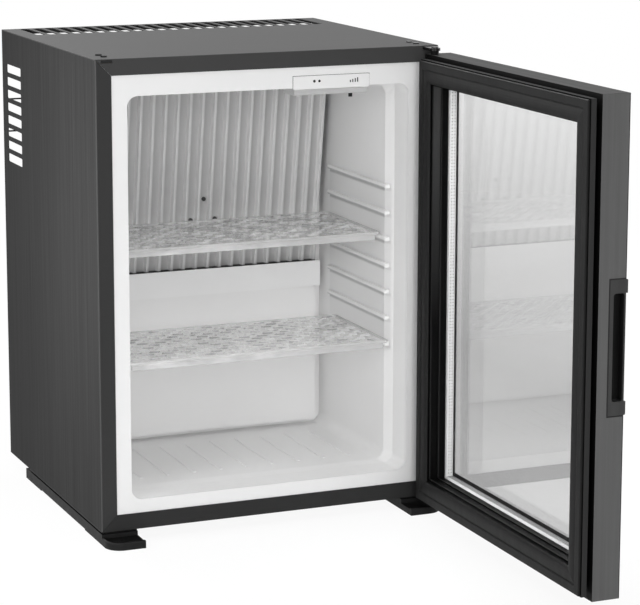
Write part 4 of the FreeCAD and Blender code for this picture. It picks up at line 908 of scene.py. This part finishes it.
def shelf_pads(front, top):
    rows = int((SHELF_DEPTH - PAD_MARGIN[1] * 2 - PAD_SIZE[1]) / PAD_PITCH[1]) + 1
    for row in range(rows):
        y = front + PAD_MARGIN[1] + PAD_PITCH[1] * row
        x = SHELF_WIDTH[0] + PAD_MARGIN[0] + PAD_PITCH[0] / 2 * (row % 2)
        while x + PAD_SIZE[0] < SHELF_WIDTH[1] - PAD_MARGIN[0]:
            across, deep = (x, x + PAD_SIZE[0]), (y, y + PAD_SIZE[1])
            upper = [
                (across[0] + PAD_SLOPE, across[1] - PAD_SLOPE),
                (deep[0] + PAD_SLOPE, deep[1] - PAD_SLOPE),
            ]
            yield stacked([
                octagon(across, deep, PAD_CORNER, top - ROOT),
                octagon(*upper, PAD_CORNER, top + PAD_SIZE[2]),
            ])
            x += PAD_PITCH[0]


def shelf(front, top):
    plate = slab(
        SHELF_WIDTH, (front, front + SHELF_DEPTH), (top - SHELF_PLATE, top), SHELF_CORNER, SHELF_BEVEL
    )
    lip = slab(
        (SHELF_WIDTH[0] + LIP_INSET, SHELF_WIDTH[1] - LIP_INSET),
        (front, front + LIP_WALL),
        (top - LIP_HEIGHT, top - SHELF_PLATE + ROOT),
        SHELF_BEVEL,
        SHELF_BEVEL,
    )
    return joined([plate, lip, *shelf_pads(front, top)])


# The plate's upper and lower side keep the clear finish. Its edges and the lip follow, then the pads.
SHELF_FINISHES = [(SLAB_ENDS, SHELF_EDGES), (SLAB_FACES * 2, SHELF_PADS)]
for name, (front, top) in SHELVES.items():
    padded = name.replace("shelf", "padded_shelf")
    piece(padded, shelf(front, top), name, "clear_shelf", name, SHELF_FINISHES)

# Four plain level marks on the control box.
MARK_FACE = (0.05, 0.3)
MARK_LEFT = 294.5
MARK_FOOT = 483.0
MARK_PITCH = 2.9
MARK_WIDTH = 1.3
MARK_HEIGHTS = (2.6, 3.4, 4.2, 5.0)
MARK_BEVEL = 0.05


def level_marks():
    shapes = []
    for number, height in enumerate(MARK_HEIGHTS):
        left = MARK_LEFT + MARK_PITCH * number
        across, upright = (left, left + MARK_WIDTH), (MARK_FOOT, MARK_FOOT + height)
        shapes.append(slab(across, MARK_FACE, upright, MARK_BEVEL, MARK_BEVEL))
    return joined(shapes)


piece("level_marks", level_marks(), "cabinet", "black_plastic")

# A painted shadow: a dark strip in the gap between the handle and the door's edge.
HANDLE_GAP = (395.1, 396.5)
HANDLE_END = 414.4
HANDLE_HEIGHTS = (187.7, 189.0, 327.0, 328.3)
HANDLE_GAP_SHADOW_FACE = (-408.2, -407.2)
HANDLE_GAP_SHADOW_BEVEL = 0.1


def handle_gap_shadow():
    low, inner_low, inner_high, high = HANDLE_HEIGHTS
    strips = (
        (HANDLE_GAP, (low, high)),
        ((HANDLE_GAP[1], HANDLE_END), (low, inner_low)),
        ((HANDLE_GAP[1], HANDLE_END), (inner_high, high)),
    )
    return joined([
        slab(x, HANDLE_GAP_SHADOW_FACE, z, HANDLE_GAP_SHADOW_BEVEL, HANDLE_GAP_SHADOW_BEVEL) for x, z in strips
    ])


piece("handle_gap_shadow", handle_gap_shadow(), "door", "black_plastic")

# A painted shadow: a thin dark strip on the liner's flange, round the control box, in the gap beside
# it.
BOX_SIDES = (227.0, 318.0)
BOX_HEIGHTS = (478.0, 492.0)
BOX_GAP_SHADOW_WIDTH = 0.45
BOX_GAP_SHADOW_FACE = (0.86, 1.06)
BOX_GAP_SHADOW_BEVEL = 0.05


def control_box_gap_shadow():
    left, right = BOX_SIDES[0] - BOX_GAP_SHADOW_WIDTH, BOX_SIDES[1] + BOX_GAP_SHADOW_WIDTH
    strips = (
        ((left, BOX_SIDES[0]), BOX_HEIGHTS),
        ((BOX_SIDES[1], right), BOX_HEIGHTS),
        ((left, right), (BOX_HEIGHTS[1], BOX_HEIGHTS[1] + BOX_GAP_SHADOW_WIDTH)),
    )
    return joined([slab(x, BOX_GAP_SHADOW_FACE, z, BOX_GAP_SHADOW_BEVEL, BOX_GAP_SHADOW_BEVEL) for x, z in strips])


piece("control_box_gap_shadow", control_box_gap_shadow(), "cabinet", "black_plastic")


# Floor, world, lamps and camera, in metres.

# The floor's half width and its tones. To the eye a share of it glows white, and that share grows
# with the distance from the middle.
FLOOR_HALF = 15.0
FLOOR_TONES = greys(0.86, 0.89)
FLOOR_SCALE = even(3)
FLOOR_GLOW = (0.92, 1.0)
FLOOR_FADE = (0.8, 2.4)
AMBIENT = 0.15
# For each lamp its place, what it points at, its two widths and its watts.
LAMPS = {
    "overhead": ((-0.1, -0.7, 2.5), (0.0, 0.0, 0.3), (1.8, 1.8), 20.0),
    "front": ((-0.6, -3.2, 1.0), (0.0, 0.1, 0.25), (1.5, 1.5), 30.5),
    "left": ((-1.5, -1.0, 0.8), (0.05, 0.1, 0.3), (0.9, 0.9), 8.0),
    "side_strip": ((-0.5, 0.06, 0.38), (-0.2, 0.06, 0.38), (0.06, 0.5), 1.3),
    "rear": ((-0.5, 2.4, 1.9), (-0.1, 0.2, 0.3), (1.2, 1.2), 54.0),
    "right": ((2.0, 0.5, 1.0), (0.1, 0.1, 0.3), (1.2, 1.2), 40.0),
}


def seen_directly(tree):
    """1 for rays from the eye, off gloss and through glass, otherwise 0."""
    path = add(tree, "ShaderNodeLightPath").outputs
    two = math_of(tree, "MAXIMUM", path["Is Camera Ray"], path["Is Glossy Ray"])
    return math_of(tree, "MAXIMUM", two, path["Is Transmission Ray"])


def make_floor():
    mesh = bpy.data.meshes.new("floor")
    corners = [
        (x * FLOOR_HALF, y * FLOOR_HALF, 0.0) for x, y in ((-1, -1), (1, -1), (1, 1), (-1, 1))
    ]
    mesh.from_pydata(corners, [], [range(len(corners))])
    floor = bpy.data.objects.new("floor", mesh)
    bpy.context.scene.collection.objects.link(floor)
    material, tree, bsdf = surface("pale_floor", {SPECULAR: 0.0})
    where = place_of(tree)
    shade = wandering(tree, noise(tree, where, FLOOR_SCALE), *FLOOR_TONES)
    tree.links.new(shade, bsdf.inputs["Base Color"])
    glow = add(tree, "ShaderNodeEmission", {"Color": grey(1.0), "Strength": 1.0})
    far = add(tree, "ShaderNodeVectorMath", {0: where}, operation="LENGTH").outputs["Value"]
    glowing = ranged(tree, far, *FLOOR_GLOW, *FLOOR_FADE)
    share = product(tree, seen_directly(tree), glowing)
    mixed_output(tree, "Material Output", share, bsdf, glow)
    mesh.materials.append(material)


def make_world():
    world = bpy.data.worlds.new("studio")
    bpy.context.scene.world = world
    world.use_nodes = True
    tree = world.node_tree
    dim = tree.nodes["Background"]
    dim.inputs["Color"].default_value = grey(1.0)
    dim.inputs["Strength"].default_value = AMBIENT
    white = add(tree, "ShaderNodeBackground", {"Color": grey(1.0), "Strength": 1.0})
    mixed_output(tree, "World Output", seen_directly(tree), dim, white)


def make_lamp(name, place, target, size, watts):
    lamp = bpy.data.lights.new(name, "AREA")
    lamp.shape, lamp.energy = "ELLIPSE", watts
    lamp.size, lamp.size_y = size
    holder = bpy.data.objects.new(name, lamp)
    holder.location = place
    holder.rotation_euler = (Vector(target) - Vector(place)).to_track_quat("-Z", "Y").to_euler()
    holder.visible_camera = False
    bpy.context.scene.collection.objects.link(holder)


def make_camera():
    lens = bpy.data.cameras.new("camera")
    lens.lens, lens.sensor_width = CAMERA_LENS, CAMERA_SENSOR
    lens.shift_x, lens.shift_y = CAMERA_SHIFT
    camera = bpy.data.objects.new("camera", lens)
    camera.location = CAMERA_PLACE
    camera.rotation_euler = (math.pi / 2 - CAMERA_DOWN, 0.0, -CAMERA_AZIMUTH)
    bpy.context.scene.collection.objects.link(camera)
    bpy.context.scene.camera = camera


make_floor()
make_world()
for name, settings in LAMPS.items():
    make_lamp(name, *settings)
make_camera()
bpy.context.scene.view_settings.view_transform = "Standard"
